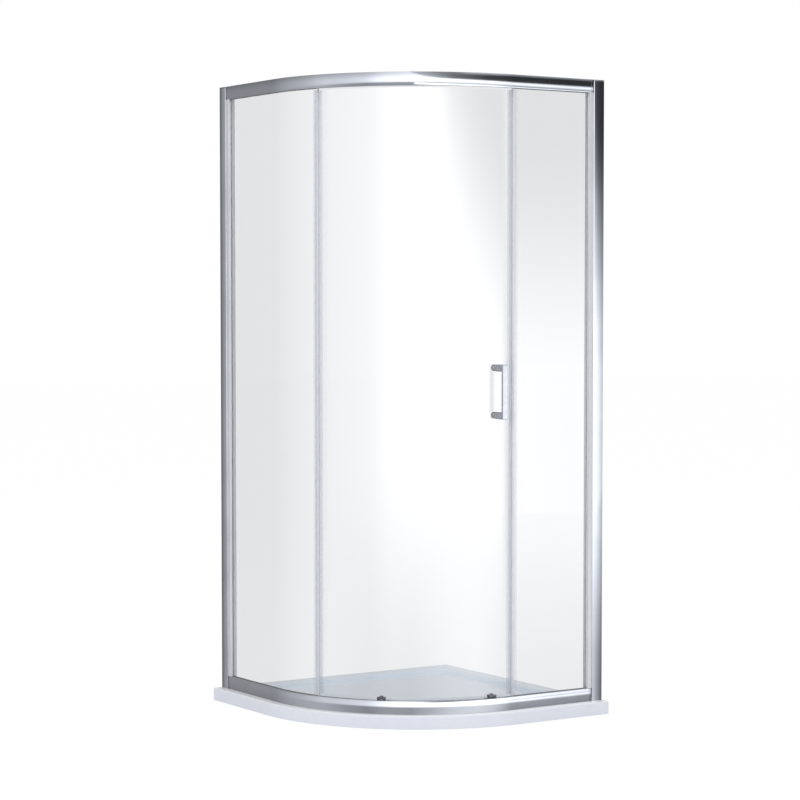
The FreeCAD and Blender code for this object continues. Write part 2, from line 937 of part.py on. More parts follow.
def make_fixed_glass():
    """The left panel is bent at its door edge; the right panel is flat."""
    height = glass_head - glass_foot
    edge = wall_reach - S.glass_edge_out
    sweep = S.left_glass_angle - 180
    sagitta = 1 - cosine(sweep / 2)
    end_x = cosine(S.left_glass_angle)
    end_y = sine(S.left_glass_angle)
    outer = glass_outer_radius
    inner = glass_inner_radius
    left = new_body("fixed_glass_left")
    outline = [
        Corner(-outer, edge),
        Corner(-outer, length(0), outer * sagitta),
        Corner(outer * end_x, outer * end_y),
        Corner(inner * end_x, inner * end_y, -(inner * sagitta)),
        Corner(-inner, length(0)),
        Corner(-inner, edge),
    ]
    sketch = new_sketch(left, "XY_Plane")
    draw_loop(sketch, outline)
    pad(left, sketch, height)
    right = new_body("fixed_glass_right")
    sketch = new_sketch(right, "XY_Plane")
    draw_loop(sketch, rectangle(S.right_glass_start, -outer, edge, -inner))
    pad(right, sketch, height)
    for body in (left, right):
        place(body, centre, centre, glass_foot)
        keep(body.Name, body)


# ---------------------------------------------------------------- vertical seals


Blade = collections.namedtuple("Blade", "reach foot at_tip")


def make_seal(name, turn, hand, radii, grip, blade, aside=0):
    """A clear strip clipped on a glass edge, with a blade that closes the gap to the other pane.
    hand is +1 where the glass lies towards greater angles. The blade stands on the strip's back
    or at the tip of its grip."""
    inner, outer = radii
    wall = S.seal_wall
    outward = blade.reach.value > outer.value
    slope = fall(grip, inner)
    own, other, step = (outer, inner - slope, wall) if outward else (inner - slope, outer, -wall)

    def at(x, y):
        return Corner(x, length(y) * hand)

    channel = [
        at(other - step, -wall),
        at(own + step, -wall),
        at(own + step, grip),
        at(own, grip),
        at(own, 0),
        at(other, 0),
        at(other, grip),
        at(other - step, grip),
    ]
    body = new_body(name)
    sketch = new_sketch(body, "XY_Plane")
    draw_loop(sketch, channel)
    pad(body, sketch, seal_head - seal_foot)
    low = grip - wall if blade.at_tip else -wall
    fin = new_sketch(body, "XY_Plane", blade.foot - seal_foot)
    root_x = own + step / 2
    back = [at(root_x, low), at(blade.reach, low)]
    front = [at(blade.reach, low + wall), at(root_x, low + wall)]
    draw_loop(fin, back + front)
    pad(body, fin, seal_head - blade.foot)
    place_on_arc(body, turn, seal_foot, aside)
    keep(name, body)


def make_seals():
    """Each joint of door and panel is closed by two blades, which meet as the door shuts. The
    blade on the left panel stops above the path of the door's bottom rollers."""
    clear = S.seal_wall + S.gap * 2
    panel_reach = door_outer_radius + clear
    door_reach = glass_inner_radius - clear
    panel_radii = (glass_inner_radius, glass_outer_radius)
    door_radii = (door_inner_radius, door_outer_radius)
    left_overlap = S.left_glass_angle - S.door_left_angle
    left_grip = sine(left_overlap) * panel_reach - S.gap
    above_rollers = housing_head + S.release_button + 8
    blade = Blade(panel_reach, above_rollers, True)
    make_seal("fixed_seal_left", S.left_glass_angle, -1, panel_radii, left_grip, blade)
    blade = Blade(door_reach, seal_foot, False)
    make_seal("door_seal_left", S.door_left_angle, 1, door_radii, S.seal_grip, blade)

    blade = Blade(panel_reach, seal_foot, False)
    start = S.right_glass_start
    make_seal("fixed_seal_right", length(270), 1, panel_radii, S.seal_grip, blade, start)
    blade_start = sine(S.door_right_angle - 270) * door_reach - (start - S.seal_wall - S.gap)
    right_grip = blade_start + S.seal_wall
    blade = Blade(door_reach, seal_foot, True)
    make_seal("door_seal_right", S.door_right_angle, -1, door_radii, right_grip, blade)


# ---------------------------------------------------------------- door glass and handle


def roller_angles():
    return (("left", S.left_roller_angle), ("right", S.right_roller_angle))


def handle_leg_heights():
    middle = rim_top + S.handle_height
    offset = S.handle_length / 2 - S.handle_leg / 2
    return [middle - offset, middle + offset]


def make_door_glass():
    body = new_body("door_pane")
    sketch = new_sketch(body, "XZ_Plane")
    draw_loop(sketch, rectangle(door_inner_radius, 0, door_outer_radius, door_head - door_foot))
    revolve(body, sketch, "Z_Axis", door_sweep)
    place(body, centre, centre, door_foot, S.door_left_angle)
    near = door_inner_radius - 4
    far = door_outer_radius + 4
    tools = []
    for name, angle in roller_angles():
        hole_radius = S.roller_bolt_radius + 1.2
        for level, z in (("top", top_hole_height), ("bottom", bottom_hole_height)):
            tools.append(drill(f"pane_{level}_{name}", near, far, hole_radius, angle, z))
    for number, z in enumerate(handle_leg_heights()):
        hole_radius = S.handle_bolt_radius + 1.2
        tools.append(drill(f"pane_handle_{number}", near, far, hole_radius, S.handle_angle, z))
    cut_away("door_glass", body, tools)


def make_handle():
    """A cast bracket handle outside, held by bolts through the glass with round knobs inside."""
    body = new_body("handle_casting")
    half = S.handle_length / 2
    leg = half - S.handle_leg
    foot = door_outer_radius + S.washer_thickness
    bar_back = door_outer_radius + S.handle_standoff
    bar_front = bar_back + S.handle_bar_thickness
    outline = [
        Corner(foot, -half),
        Corner(bar_front, -half),
        Corner(bar_front, half),
        Corner(foot, half),
        Corner(foot, leg),
        Corner(bar_back, leg),
        Corner(bar_back, -leg),
        Corner(foot, -leg),
    ]
    sketch = new_sketch(body, "XZ_Plane", -S.handle_bar_width / 2)
    draw_loop(sketch, outline)
    pad(body, sketch, S.handle_bar_width)
    front = bar_front.value

    def on_front(edge):
        return edge.BoundBox.XMin > front - 1e-3

    def along_bar(edge):
        box = edge.BoundBox
        flat = box.ZLength < 1e-3 and box.YLength < 1e-3
        return flat and box.XLength > S.handle_leg.value

    dress_edges(body, "Fillet", along_bar, length(3))
    dress_edges(body, "Fillet", on_front, length(1.5))
    middle = rim_top + S.handle_height
    place_on_arc(body, S.handle_angle, middle)
    bolt_tip = foot + S.handle_bolt_bite
    tools = []
    bolts = []
    knobs = []
    washers = []
    radius = S.knob_radius
    inner_seat = door_inner_radius - fall(radius - 2, door_inner_radius)
    knob_face = inner_seat - S.washer_thickness
    knob_end = knob_face - S.knob_length
    bolt_radius = S.handle_bolt_radius
    bolt_start = knob_face - S.knob_socket + 1
    for number, z in enumerate(handle_leg_heights()):
        at = (S.handle_angle, z)
        tools.append(drill(f"handle_drill_{number}", foot - 1, bolt_tip + 1, bolt_radius, *at))
        bolts.append(drill(f"handle_bolt_{number}", bolt_start, bolt_tip, bolt_radius, *at))
        knob = [
            Corner(knob_end, 0),
            Corner(knob_end, radius - 4),
            Corner(knob_end + 4, radius),
            Corner(knob_face - 5, radius),
            Corner(knob_face - 3, radius - 2),
            Corner(knob_face, radius - 2),
            Corner(knob_face, bolt_radius),
            Corner(knob_face - S.knob_socket, bolt_radius),
            Corner(knob_face - S.knob_socket, 0),
        ]
        knobs.append(turned_solid(f"handle_knob_{number}", knob, *at))
        hole_radius = bolt_radius + S.slack
        for place_name, near in (("in", knob_face), ("out", door_outer_radius)):
            ring = rectangle(near, hole_radius, near + S.washer_thickness, radius - 2)
            washers.append(turned_solid(f"handle_washer_{place_name}_{number}", ring, *at))
    cut_away("door_handle", body, tools)
    grouped("handle_bolts", bolts)
    grouped("handle_knobs", knobs)
    grouped("handle_washers", washers)


# ---------------------------------------------------------------- rollers


def wheel_corners():
    """Half the section of a grooved wheel, with a dished web on each face."""
    low = wheel_inner
    high = wheel_outer
    bore = S.bearing_radius
    rim = S.wheel_radius
    dish = length(1)
    flat = S.bead_width / 2 + 0.3
    return [
        Corner(low, bore),
        Corner(high, bore),
        Corner(high, bore + 1),
        Corner(high - dish, bore + 1.5),
        Corner(high - dish, S.wheel_groove_radius - 1.5),
        Corner(high, S.wheel_groove_radius - 1),
        Corner(high, rim - 0.4),
        Corner(high - 0.4, rim),
        Corner(high - 1.3, rim),
        Corner(track_radius + flat, S.wheel_groove_radius),
        Corner(track_radius - flat, S.wheel_groove_radius),
        Corner(low + 1.3, rim),
        Corner(low + 0.4, rim),
        Corner(low, rim - 0.4),
        Corner(low, S.wheel_groove_radius - 1),
        Corner(low + dish, S.wheel_groove_radius - 1.5),
        Corner(low + dish, bore + 1.5),
        Corner(low, bore + 1),
    ]


def make_wheel(level, name, angle, z):
    wheel = turned_solid(f"{level}_wheel_{name}", wheel_corners(), angle, z)
    keep(wheel.Name, wheel)
    bore = S.axle_radius + S.running_gap
    ring = rectangle(wheel_inner + 0.2, bore, wheel_outer - 0.2, S.bearing_radius)
    bearing = turned_solid(f"{level}_bearing_{name}", ring, angle, z)
    keep(bearing.Name, bearing)


cap_face = door_inner_radius - fall(S.roller_cap_radius, door_inner_radius)
bolt_end = cap_face - S.roller_cap_length - 0.5
axle_head_start = wheel_outer + S.gap / 2
axle_head_end = axle_head_start + 0.9
axle_head_radius = S.axle_radius + 1


def make_top_roller(name, angle):
    """A wheel on an off-centre pin: turning the pin in the glass lifts or lowers the door."""
    make_wheel("top", name, angle, top_axle_height)
    body = new_body(f"top_roller_pin_{name}")
    flange_start = door_outer_radius
    flange_end = flange_start + S.pin_flange
    collar_end = wheel_inner - S.gap / 2
    pin = [
        Corner(flange_start, 0),
        Corner(axle_head_end, 0),
        Corner(axle_head_end, axle_head_radius),
        Corner(axle_head_start, axle_head_radius),
        Corner(axle_head_start, S.axle_radius),
        Corner(collar_end, S.axle_radius),
        Corner(collar_end, S.axle_radius + 1.5),
        Corner(flange_end, S.axle_radius + 1.5),
        Corner(flange_end, S.roller_cap_radius - 1),
        Corner(flange_start, S.roller_cap_radius - 1),
    ]
    sketch = new_sketch(body, "XZ_Plane")
    draw_loop(sketch, pin)
    revolve(body, sketch, "X_Axis")
    shank = new_sketch(body, "YZ_Plane", flange_start)
    draw_circle(shank, 0, -S.roller_offset, S.roller_bolt_radius)
    pad(body, shank, flange_start - bolt_end, backwards=True)
    place_on_arc(body, angle, top_axle_height)
    keep(body.Name, body)
    make_cap(f"top_roller_cap_{name}", angle, top_hole_height)


def make_cap(name, angle, z):
    """The round nut on the inside of the glass that holds a roller."""
    face = cap_face
    end = face - S.roller_cap_length
    bore = S.roller_bolt_radius
    radius = S.roller_cap_radius
    ring = [
        Corner(face, bore),
        Corner(face, radius),
        Corner(end + 1.5, radius),
        Corner(end, radius - 1.5),
        Corner(end, bore),
    ]
    keep(name, turned_solid(name, ring, angle, z))


plate_start = door_outer_radius
plate_end = plate_start + S.housing_plate
release_start = plate_end + S.gap
release_end = release_start + S.release_thickness
shelf_foot = housing_head - S.spring_shelf_drop
shelf_head = shelf_foot + S.spring_shelf_thickness
spring_head = shelf_head + S.spring_length
arch_head = housing_head - S.housing_bar


def make_bottom_roller(name, angle):
    """A sprung wheel under the rail's bead. Its housing is bolted through the glass; pressing the
    button on top lowers the wheel off the bead."""
    make_wheel("bottom", name, angle, bottom_axle_height)
    make_housing(name, angle)
    make_release(name, angle)
    make_spring(name, angle)
    make_cap(f"bottom_roller_cap_{name}", angle, bottom_hole_height)


def make_housing(name, angle):
    body = new_body(f"bottom_roller_housing_{name}")
    half = S.housing_width / 2
    plate_foot = bottom_hole_height - S.roller_cap_radius
    window = S.spring_radius + 1.4
    slot = S.release_width / 2 - 0.9 + S.gap

    # back plate against the glass, with a window behind the spring
    plate = new_sketch(body, "YZ_Plane", plate_start)
    draw_loop(plate, rectangle(-half, plate_foot, half, housing_head))
    draw_loop(plate, rectangle(-window, shelf_head, window, arch_head + 2))
    pad(body, plate, plate_end - plate_start)

    # arched front: two legs and a bar over them
    leg = S.release_width / 2 + S.gap
    leg_foot = bottom_rail_head - S.shelf_rise + 2
    arch_spring = arch_head - leg
    quarter_bow = leg * (1 - math.cos(math.pi / 4))
    arch = [
        Corner(-half, leg_foot),
        Corner(-leg, leg_foot),
        Corner(-leg, arch_spring, -quarter_bow),
        Corner(0, arch_head, -quarter_bow),
        Corner(leg, arch_spring),
        Corner(leg, leg_foot),
        Corner(half, leg_foot),
        Corner(half, housing_head),
        Corner(-half, housing_head),
    ]
    front_start = release_end + S.gap
    front = new_sketch(body, "YZ_Plane", front_start)
    draw_loop(front, arch)
    pad(body, front, plate_start + S.housing_depth - front_start)

    # side cheeks tie the front to the back plate, beside the sliding release
    for low, high in ((-half, -leg), (leg, half)):
        cheek = new_sketch(body, "YZ_Plane", plate_end)
        draw_loop(cheek, rectangle(low, leg_foot, high, housing_head))
        pad(body, cheek, front_start - plate_end)
    shelf = new_sketch(body, "YZ_Plane", plate_end)
    shelf_half = window - 0.7
    draw_loop(shelf, rectangle(-shelf_half, shelf_foot, shelf_half, shelf_head))
    pad(body, shelf, release_end - plate_end)

    # threaded stub through the glass to the cap inside
    stub = new_sketch(body, "YZ_Plane", plate_start)
    draw_circle(stub, 0, bottom_hole_height, S.roller_bolt_radius)
    pad(body, stub, plate_start - bolt_end, backwards=True)

    def top_corner(edge):
        box = edge.BoundBox
        at_side = box.YLength < 1e-3 and abs(abs(box.YMin) - half.value) < 1e-3
        return at_side and level_edge(edge, housing_head)

    dress_edges(body, "Fillet", top_corner, length(2))
    place_on_arc(body, angle, length(0))
    keep(body.Name, body)


def make_release(name, angle):
    """The sliding plate that carries the wheel: the spring in its window pushes it up."""
    body = new_body(f"release_slider_{name}")
    half = S.release_width / 2
    neck = half - 0.9
    window = S.spring_radius + 1.2
    foot = bottom_axle_height - 5
    shoulder = arch_head - S.gap
    window_foot = shelf_foot - S.gap
    outline = [
        Corner(-half, foot),
        Corner(half, foot),
        Corner(half, shoulder),
        Corner(neck, shoulder),
        Corner(neck, housing_head + S.release_button),
        Corner(-neck, housing_head + S.release_button),
        Corner(-neck, shoulder),
        Corner(-half, shoulder),
    ]
    plate = new_sketch(body, "YZ_Plane", release_start)
    draw_loop(plate, outline)
    draw_loop(plate, rectangle(-window, window_foot, window, spring_head + S.gap))
    pad(body, plate, S.release_thickness)
    axle = new_sketch(body, "YZ_Plane", release_end)
    draw_circle(axle, 0, bottom_axle_height, S.axle_radius)
    pad(body, axle, axle_head_end - release_end)
    head = new_sketch(body, "YZ_Plane", axle_head_start)
    draw_circle(head, 0, bottom_axle_height, axle_head_radius)
    pad(body, head, axle_head_end - axle_head_start)
    place_on_arc(body, angle, length(0))
    keep(body.Name, body)


def make_spring(name, angle):
    """A short compression spring, one unbroken coil whose wire has six flats."""
    radius = S.spring_radius.value - S.spring_wire.value / 2
    foot = shelf_head.value + S.spring_wire.value / 2
    head = spring_head.value - S.spring_wire.value / 2
    pitch = (head - foot) / S.spring_turns.value
    helix = Part.makeHelix(pitch, head - foot, radius)
    wire = Part.Wire(helix.Edges)
    half_wire = S.spring_wire.value / 2
    flats = []
    for step in range(7):
        turn = math.radians(60 * step)
        reach = radius + half_wire * math.cos(turn)
        flats.append(FreeCAD.Vector(reach, 0, half_wire * math.sin(turn)))
    coil = wire.makePipeShell([Part.makePolygon(flats)], True, True)
    spring = doc.addObject("Part::Feature", f"release_spring_{name}")
    spring.Shape = coil
    middle = (release_start + release_end) / 2
    place_on_arc(spring, angle, shelf_head + S.spring_wire / 2, 0, middle)
    keep(f"release_spring_{name}", spring)


def make_roller_guides():
    """Small nylon blocks beside the bottom rollers, which steady the door behind the rail."""
    guides = []
    half = S.guide_width / 2
    beside = arc_angle(S.housing_width / 2 + S.guide_gap + half, door_outer_radius)
    guide_top = housing_head - S.guide_head_drop
    for (name, angle), hand in zip(roller_angles(), (1, -1)):
        body = new_body(f"roller_guide_{name}")
        sketch = new_sketch(body, "YZ_Plane", plate_start)
        draw_loop(sketch, rectangle(-half, bottom_rail_head - S.guide_foot_drop, half, guide_top))
        pad(body, sketch, S.housing_depth - S.guide_setback)

        def on_top(edge):
            return level_edge(edge, guide_top)

        dress_edges(body, "Fillet", on_top, S.guide_round)
        place_on_arc(body, angle + beside * hand, length(0))
        guides.append(body)
    grouped("roller_guides", guides)


def make_door_stops():
    """Rubber blocks on the top rail's shelf, which the wheels meet at each end of the travel."""
    block_top = shelf_top + S.bead_height * 2
    drop = top_axle_height - top_rail_foot - block_top
    reach_square = S.wheel_radius * S.wheel_radius - drop * drop
    clear = arc_angle(root(reach_square) + S.gap, track_radius)
    sweep = arc_angle(S.stop_length, track_radius)
    left_turn = S.left_roller_angle - S.door_travel - clear - sweep
    right_turn = S.right_roller_angle + clear
    stops = []
    for name, turn in (("left", left_turn), ("right", right_turn)):
        body = new_body(f"door_stop_{name}")
        low = face_radius - bead_outer + S.gap
        high = face_radius - leg_inner
        sketch = new_sketch(body, "XZ_Plane")
        draw_loop(sketch, rectangle(low, shelf_top, high, block_top))
        revolve(body, sketch, "Z_Axis", sweep)
        place(body, centre, centre, top_rail_foot, turn)
        stops.append(body)
    grouped("door_stops", stops)


# ---------------------------------------------------------------- screws


def screw_corners(tip, face, shank, head):
    """Half the section of a pan head screw whose head lies on the face, towards the inside."""
    return [
        Corner(tip, 0),
        Corner(tip, shank),
        Corner(face, shank),
        Corner(face, head),
        Corner(face - 1.6, head - 0.4),
        Corner(face - 2.4, head - 1.6),
        Corner(face - 2.4, 0),
    ]


def make_screws():
    low = S.wall_profile_recess
    flange = face_radius - S.wall_profile_width - low
    tip = flange + 8
    shank = S.profile_screw_radius
    for side in SIDES:
        screws = []
        covers = []
        for number, z in enumerate(profile_screw_heights()):
            at = (side.across, z, screw_aside(side))
            corners = screw_corners(tip, flange, shank, shank + S.screw_head_overhang)
            screws.append(turned_solid(f"profile_screw_{side.name}_{number}", corners, *at))
            cover = [
                Corner(flange - 2.7, 0),
                Corner(flange - 2.7, shank + 2.2),
                Corner(flange, shank + 2.2),
                Corner(flange, shank + 3.6),
                Corner(flange - 2.4, shank + 3.6),
                Corner(flange - 4, shank + 2),
                Corner(flange - 4, 0),
            ]
            covers.append(turned_solid(f"profile_cover_{side.name}_{number}", cover, *at))
        grouped(f"profile_screws_{side.name}", screws)
        grouped(f"profile_screw_covers_{side.name}", covers)
    make_corner_screws()


def make_corner_screws():
    """Screws through the rails' inner leg into the corner blocks' plugs."""
    face = face_radius - leg_inner
    shank = S.corner_screw_radius
    corners = screw_corners(face + S.corner_screw_length, face, shank, shank + S.screw_head_overhang)
    screws = []
    for level, upright, foot in (("top", True, top_rail_foot), ("bottom", False, rim_top)):
        z = corner_screw_height(upright, foot)
        for side in SIDES:
            name = f"corner_screw_{level}_{side.name}"
            screws.append(turned_solid(name, corners, side.across, z, screw_row(side)))
    grouped("corner_screws", screws)


# ---------------------------------------------------------------- build


def check_document():
    """Stops if any object failed or any sub-part is empty or broken."""
    failed = [item.Name for item in doc.Objects if {"Invalid", "Error"} & set(item.State)]
    if failed:
        raise RuntimeError(f"failed: {failed}")
    for name, item in sub_parts.items():
        if item.Shape.isNull() or not item.Shape.isValid():
            raise RuntimeError(f"{name} has no valid shape")
        if not item.Shape.Solids:
            raise RuntimeError(f"{name} has no solid")


def main():
    make_tray()
    make_rail("top_rail", True, top_rail_foot)
    make_rail("bottom_rail", False, rim_top)
    make_rail_gaskets("top", True, top_rail_foot)
    make_rail_gaskets("bottom", False, rim_top)
    for side in SIDES:
        make_corner_block("top", side, True, top_rail_foot)
        make_corner_block("bottom", side, False, rim_top)
        make_side_profile(side)
        make_wall_profile(side)
        make_wall_cap(side)
        make_side_gasket(side)
    make_fixed_glass()
    make_seals()
    make_screws()
    make_door_stops()
    make_door_glass()
    make_handle()
    for name, angle in roller_angles():
        make_top_roller(name, angle)
        make_bottom_roller(name, angle)
    make_roller_guides()
    doc.recompute()
    check_document()
    os.makedirs("parts", exist_ok=True)
    for name, item in sub_parts.items():
        item.Shape.exportStep(f"parts/{name}.step")
        print(f"{name}: {len(item.Shape.Solids)} solid(s), {item.Shape.Volume:.0f} mm3")


main()
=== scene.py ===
"""A quadrant shower enclosure, dressed over its CAD frame.

Two bent rails stand on a low corner tray and hold a fixed pane on each side. A curved glass door
rolls between them on four grooved wheels. Sizes are metres in the frame of the CAD model.
"""

import logging
import math
from dataclasses import dataclass
from enum import Enum
from typing import Callable, Sequence

import bmesh
import bpy
from mathutils import Matrix, Vector

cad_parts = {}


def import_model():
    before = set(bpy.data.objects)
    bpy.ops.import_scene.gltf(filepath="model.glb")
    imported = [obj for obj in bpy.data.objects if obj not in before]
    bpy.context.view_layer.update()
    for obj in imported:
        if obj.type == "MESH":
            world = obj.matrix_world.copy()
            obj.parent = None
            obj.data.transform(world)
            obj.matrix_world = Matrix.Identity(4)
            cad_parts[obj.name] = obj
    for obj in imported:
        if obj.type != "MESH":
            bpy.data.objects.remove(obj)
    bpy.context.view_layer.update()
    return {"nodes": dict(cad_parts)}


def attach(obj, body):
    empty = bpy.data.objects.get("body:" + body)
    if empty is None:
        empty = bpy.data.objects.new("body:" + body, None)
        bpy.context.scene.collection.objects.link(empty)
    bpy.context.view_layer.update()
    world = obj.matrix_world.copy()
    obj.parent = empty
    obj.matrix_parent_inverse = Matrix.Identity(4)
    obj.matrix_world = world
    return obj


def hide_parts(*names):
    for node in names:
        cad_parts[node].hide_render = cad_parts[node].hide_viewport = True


log = logging.getLogger("enclosure")

Piece = bpy.types.Object
Material = bpy.types.Material
Node = bpy.types.Node
Socket = bpy.types.NodeSocket
Place = Sequence[float]

X, Y, Z = range(3)
UP = Vector((0.0, 0.0, 1.0))
ALONG_X = Vector((1.0, 0.0, 0.0))
QUARTER_TURN = math.pi / 2
FULL_TURN = 2 * math.pi
TIGHT = 1e-5  # two places that are nearer than this are the same one
WELD = 1e-6  # vertices that are nearer than this are merged
SQUARE_ON = 0.9  # the least share of a normal that points where its face looks

CENTRE = Vector((0.1, 0.1, 0.0))  # the axis that the bent rails, the door and its wheels share
FACE_LINE = -0.423  # where the rails' face runs on the left straight
GLASS_SLOT = ((0.0085, 0.0), (0.0085, 0.02), (0.0165, 0.02), (0.0165, 0.0))  # depth and rise
HANDLE_ANGLE = math.radians(266.5)
ROLLER_ANGLES = {"left": math.radians(224.3), "right": math.radians(263.8)}
ROLLER_PINS = {"top": 1.9302, "bottom": 0.064}  # the heights of their holes in the door


class Grain(Enum):
    """The way that the fine lines of a drawn aluminium face run, as a noise's scale."""

    ALONG_RAIL = (0.5, 0.5, 900.0)
    UPRIGHT = (900.0, 900.0, 0.5)


class Element(Enum):
    """What a selection is made of, with its list in a mesh."""

    VERT = "verts"
    EDGE = "edges"
    FACE = "faces"


# ---------------------------------------------------------------------------------------------
# Modelling by hand, in code
# ---------------------------------------------------------------------------------------------


def drop_selection() -> None:
    """Leaves edit mode and selects nothing."""
    if bpy.context.object is not None and bpy.context.object.mode != "OBJECT":
        bpy.ops.object.mode_set(mode="OBJECT")
    bpy.ops.object.select_all(action="DESELECT")


def take(*pieces: Piece) -> None:
    """Selects some pieces and nothing else, and makes the first one active."""
    drop_selection()
    for piece in pieces:
        piece.select_set(True)
    bpy.context.view_layer.objects.active = pieces[0]


def edit(piece: Piece) -> None:
    """Opens one piece in edit mode."""
    take(piece)
    bpy.ops.object.mode_set(mode="EDIT")


def pick(piece: Piece, kind: Element, test: Callable[[object], bool]) -> None:
    """Selects elements of the piece being edited by a test of each.

    Args:
        piece: The piece in edit mode.
        kind: What is selected.
        test: Says whether an element is wanted.
    """
    bpy.ops.mesh.select_mode(type=kind.name)
    bpy.ops.mesh.select_all(action="DESELECT")
    mesh = bmesh.from_edit_mesh(piece.data)
    for item in getattr(mesh, kind.value):
        if test(item):
            item.select_set(True)
    mesh.select_flush_mode()
    bmesh.update_edit_mesh(piece.data)


def pick_all() -> None:
    """Selects the whole mesh being edited."""
    bpy.ops.mesh.select_all(action="SELECT")


def same(one: float, other: float) -> bool:
    """True if two places along an axis are the same one."""
    return abs(one - other) < TIGHT


def lies_at(element: object, axis: int, place: float) -> bool:
    """True if every corner of an edge or a face stands at one place along an axis."""
    return all(same(vert.co[axis], place) for vert in element.verts)


def call_it(piece: Piece, name: str) -> Piece:
    """Names a piece and its mesh, and returns the piece."""
    piece.name = piece.data.name = name
    return piece


def settle(name: str) -> Piece:
    """Names the active piece, puts its place into its mesh and returns it."""
    bpy.ops.object.transform_apply(location=True, rotation=True, scale=True)
    return call_it(bpy.context.object, name)


def start_point(name: str, place: Place) -> Piece:
    """Adds a small plane and merges it to the one vertex that an outline starts from.

    Args:
        name: The piece's name.
        place: Where the vertex stands.

    Returns:
        The new piece, open in edit mode with its vertex selected.
    """
    drop_selection()
    bpy.ops.mesh.primitive_plane_add(size=0.01, location=tuple(place))
    piece = settle(name)
    bpy.ops.object.mode_set(mode="EDIT")
    bpy.ops.mesh.select_mode(type="VERT")
    pick_all()
    bpy.ops.mesh.merge(type="CENTER")
    pick_all()
    return piece


def walk_through(points: Sequence[Place]) -> None:
    """Extrudes the selected vertex, which stands at the first point, through the others."""
    places = [Vector(point) for point in points]
    for before, after in zip(places, places[1:]):
        bpy.ops.mesh.extrude_vertices_move(TRANSFORM_OT_translate={"value": after - before})


def weld() -> None:
    """Merges the vertices of the piece being edited that lie on each other."""
    pick_all()
    bpy.ops.mesh.remove_doubles(threshold=WELD)


def trace(name: str, corners: Sequence[Place], filled: bool = True) -> Piece:
    """Traces a closed outline.

    Args:
        name: The piece's name.
        corners: The outline's corners in order.
        filled: Whether a face closes it.

    Returns:
        The piece, open in edit mode with all of it selected.
    """
    piece = start_point(name, corners[0])
    walk_through([*corners, corners[0]])
    weld()
    if filled:
        bpy.ops.mesh.edge_face_add()
    pick_all()
    return piece


def push(step: Place) -> None:
    """Extrudes the selected faces by one step."""
    bpy.ops.mesh.extrude_region_move(TRANSFORM_OT_translate={"value": tuple(step)})


def bend(turn: float, steps: int, centre: Vector = CENTRE, axis: Vector = UP) -> None:
    """Spins what is selected about an axis, anticlockwise seen from the axis's end.

    Args:
        turn: The angle in radians.
        steps: How many segments the bend has.
        centre: A point of the axis.
        axis: The axis's direction.
    """
    bpy.ops.mesh.spin(steps=steps, angle=-turn, center=tuple(centre), axis=tuple(axis))


def face_out() -> None:
    """Turns every face of the piece being edited outwards and leaves edit mode."""
    weld()
    bpy.ops.mesh.normals_make_consistent(inside=False)
    drop_selection()


def round_off(
    piece: Piece,
    width: float,
    segments: int,
    test: Callable[[object], bool],
    kind: Element = Element.EDGE,
) -> None:
    """Bevels some edges of a piece, or some of its vertices.

    Args:
        piece: The piece.
        width: The bevel's width.
        segments: How many faces it has.
        test: Says whether an element is rounded.
        kind: Whether edges or vertices are rounded.
    """
    edit(piece)
    pick(piece, kind, test)
    affect = "VERTICES" if kind is Element.VERT else "EDGES"
    bpy.ops.mesh.bevel(offset=width, segments=segments, affect=affect)
    drop_selection()


def ease(piece: Piece, width: float, segments: int = 2, angle: float = 50.0) -> None:
    """Rounds the sharp edges of a piece with a bevel that is applied.

    Args:
        piece: The piece.
        width: The bevel's width in metres.
        segments: How many faces round each edge.
        angle: Edges sharper than this, in degrees, are rounded.
    """
    take(piece)
    bevel = piece.modifiers.new("eased edges", "BEVEL")
    bevel.width = width
    bevel.segments = segments
    bevel.limit_method = "ANGLE"
    bevel.angle_limit = math.radians(angle)
    bpy.ops.object.modifier_apply(modifier=bevel.name)


def smooth(piece: Piece, angle: float) -> None:
    """Shades a piece smooth where its faces meet at less than an angle in degrees.

    The normals lean to the larger faces, so that a flat face between narrow bevels looks flat.

    Args:
        piece: The piece.
        angle: Sharper edges than this stay sharp.
    """
    take(piece)
    bpy.ops.object.shade_smooth_by_angle(angle=math.radians(angle), keep_sharp_edges=False)
    lean = piece.modifiers.new("flat faces stay flat", "WEIGHTED_NORMAL")
    lean.keep_sharp = True
    bpy.ops.object.modifier_apply(modifier=lean.name)
    drop_selection()


def throw_away(piece: Piece) -> None:
    """Deletes a tool or a pattern that has served."""
    take(piece)
    bpy.ops.object.delete()


def cut(piece: Piece, tool: Piece) -> None:
    """Cuts a tool's shape out of a piece and throws the tool away."""
    take(piece)
    knife = piece.modifiers.new("cut", "BOOLEAN")
    knife.operation = "DIFFERENCE"
    knife.solver = "EXACT"
    knife.object = tool
    bpy.ops.object.modifier_apply(modifier=knife.name)
    throw_away(tool)


def join(name: str, pieces: Sequence[Piece]) -> Piece:
    """Makes one piece of several and returns it."""
    take(*pieces)
    bpy.ops.object.join()
    return call_it(bpy.context.object, name)


def swing(piece: Piece, angle: float, level: float = 0.0) -> None:
    """Takes a piece made on +X, with the arc's axis at the origin, to its place on the arc.

    Args:
        piece: The piece.
        angle: Its angle on the arc in radians.
        level: How far it is lifted.
    """
    take(piece)
    piece.matrix_world = Matrix.Translation(CENTRE + UP * level) @ Matrix.Rotation(angle, 4, "Z")
    bpy.ops.object.transform_apply(location=True, rotation=True, scale=True)


def twin(piece: Piece, name: str) -> Piece:
    """Copies a piece, with a mesh of its own, and returns the copy."""
    take(piece)
    bpy.ops.object.duplicate(linked=False)
    return call_it(bpy.context.object, name)


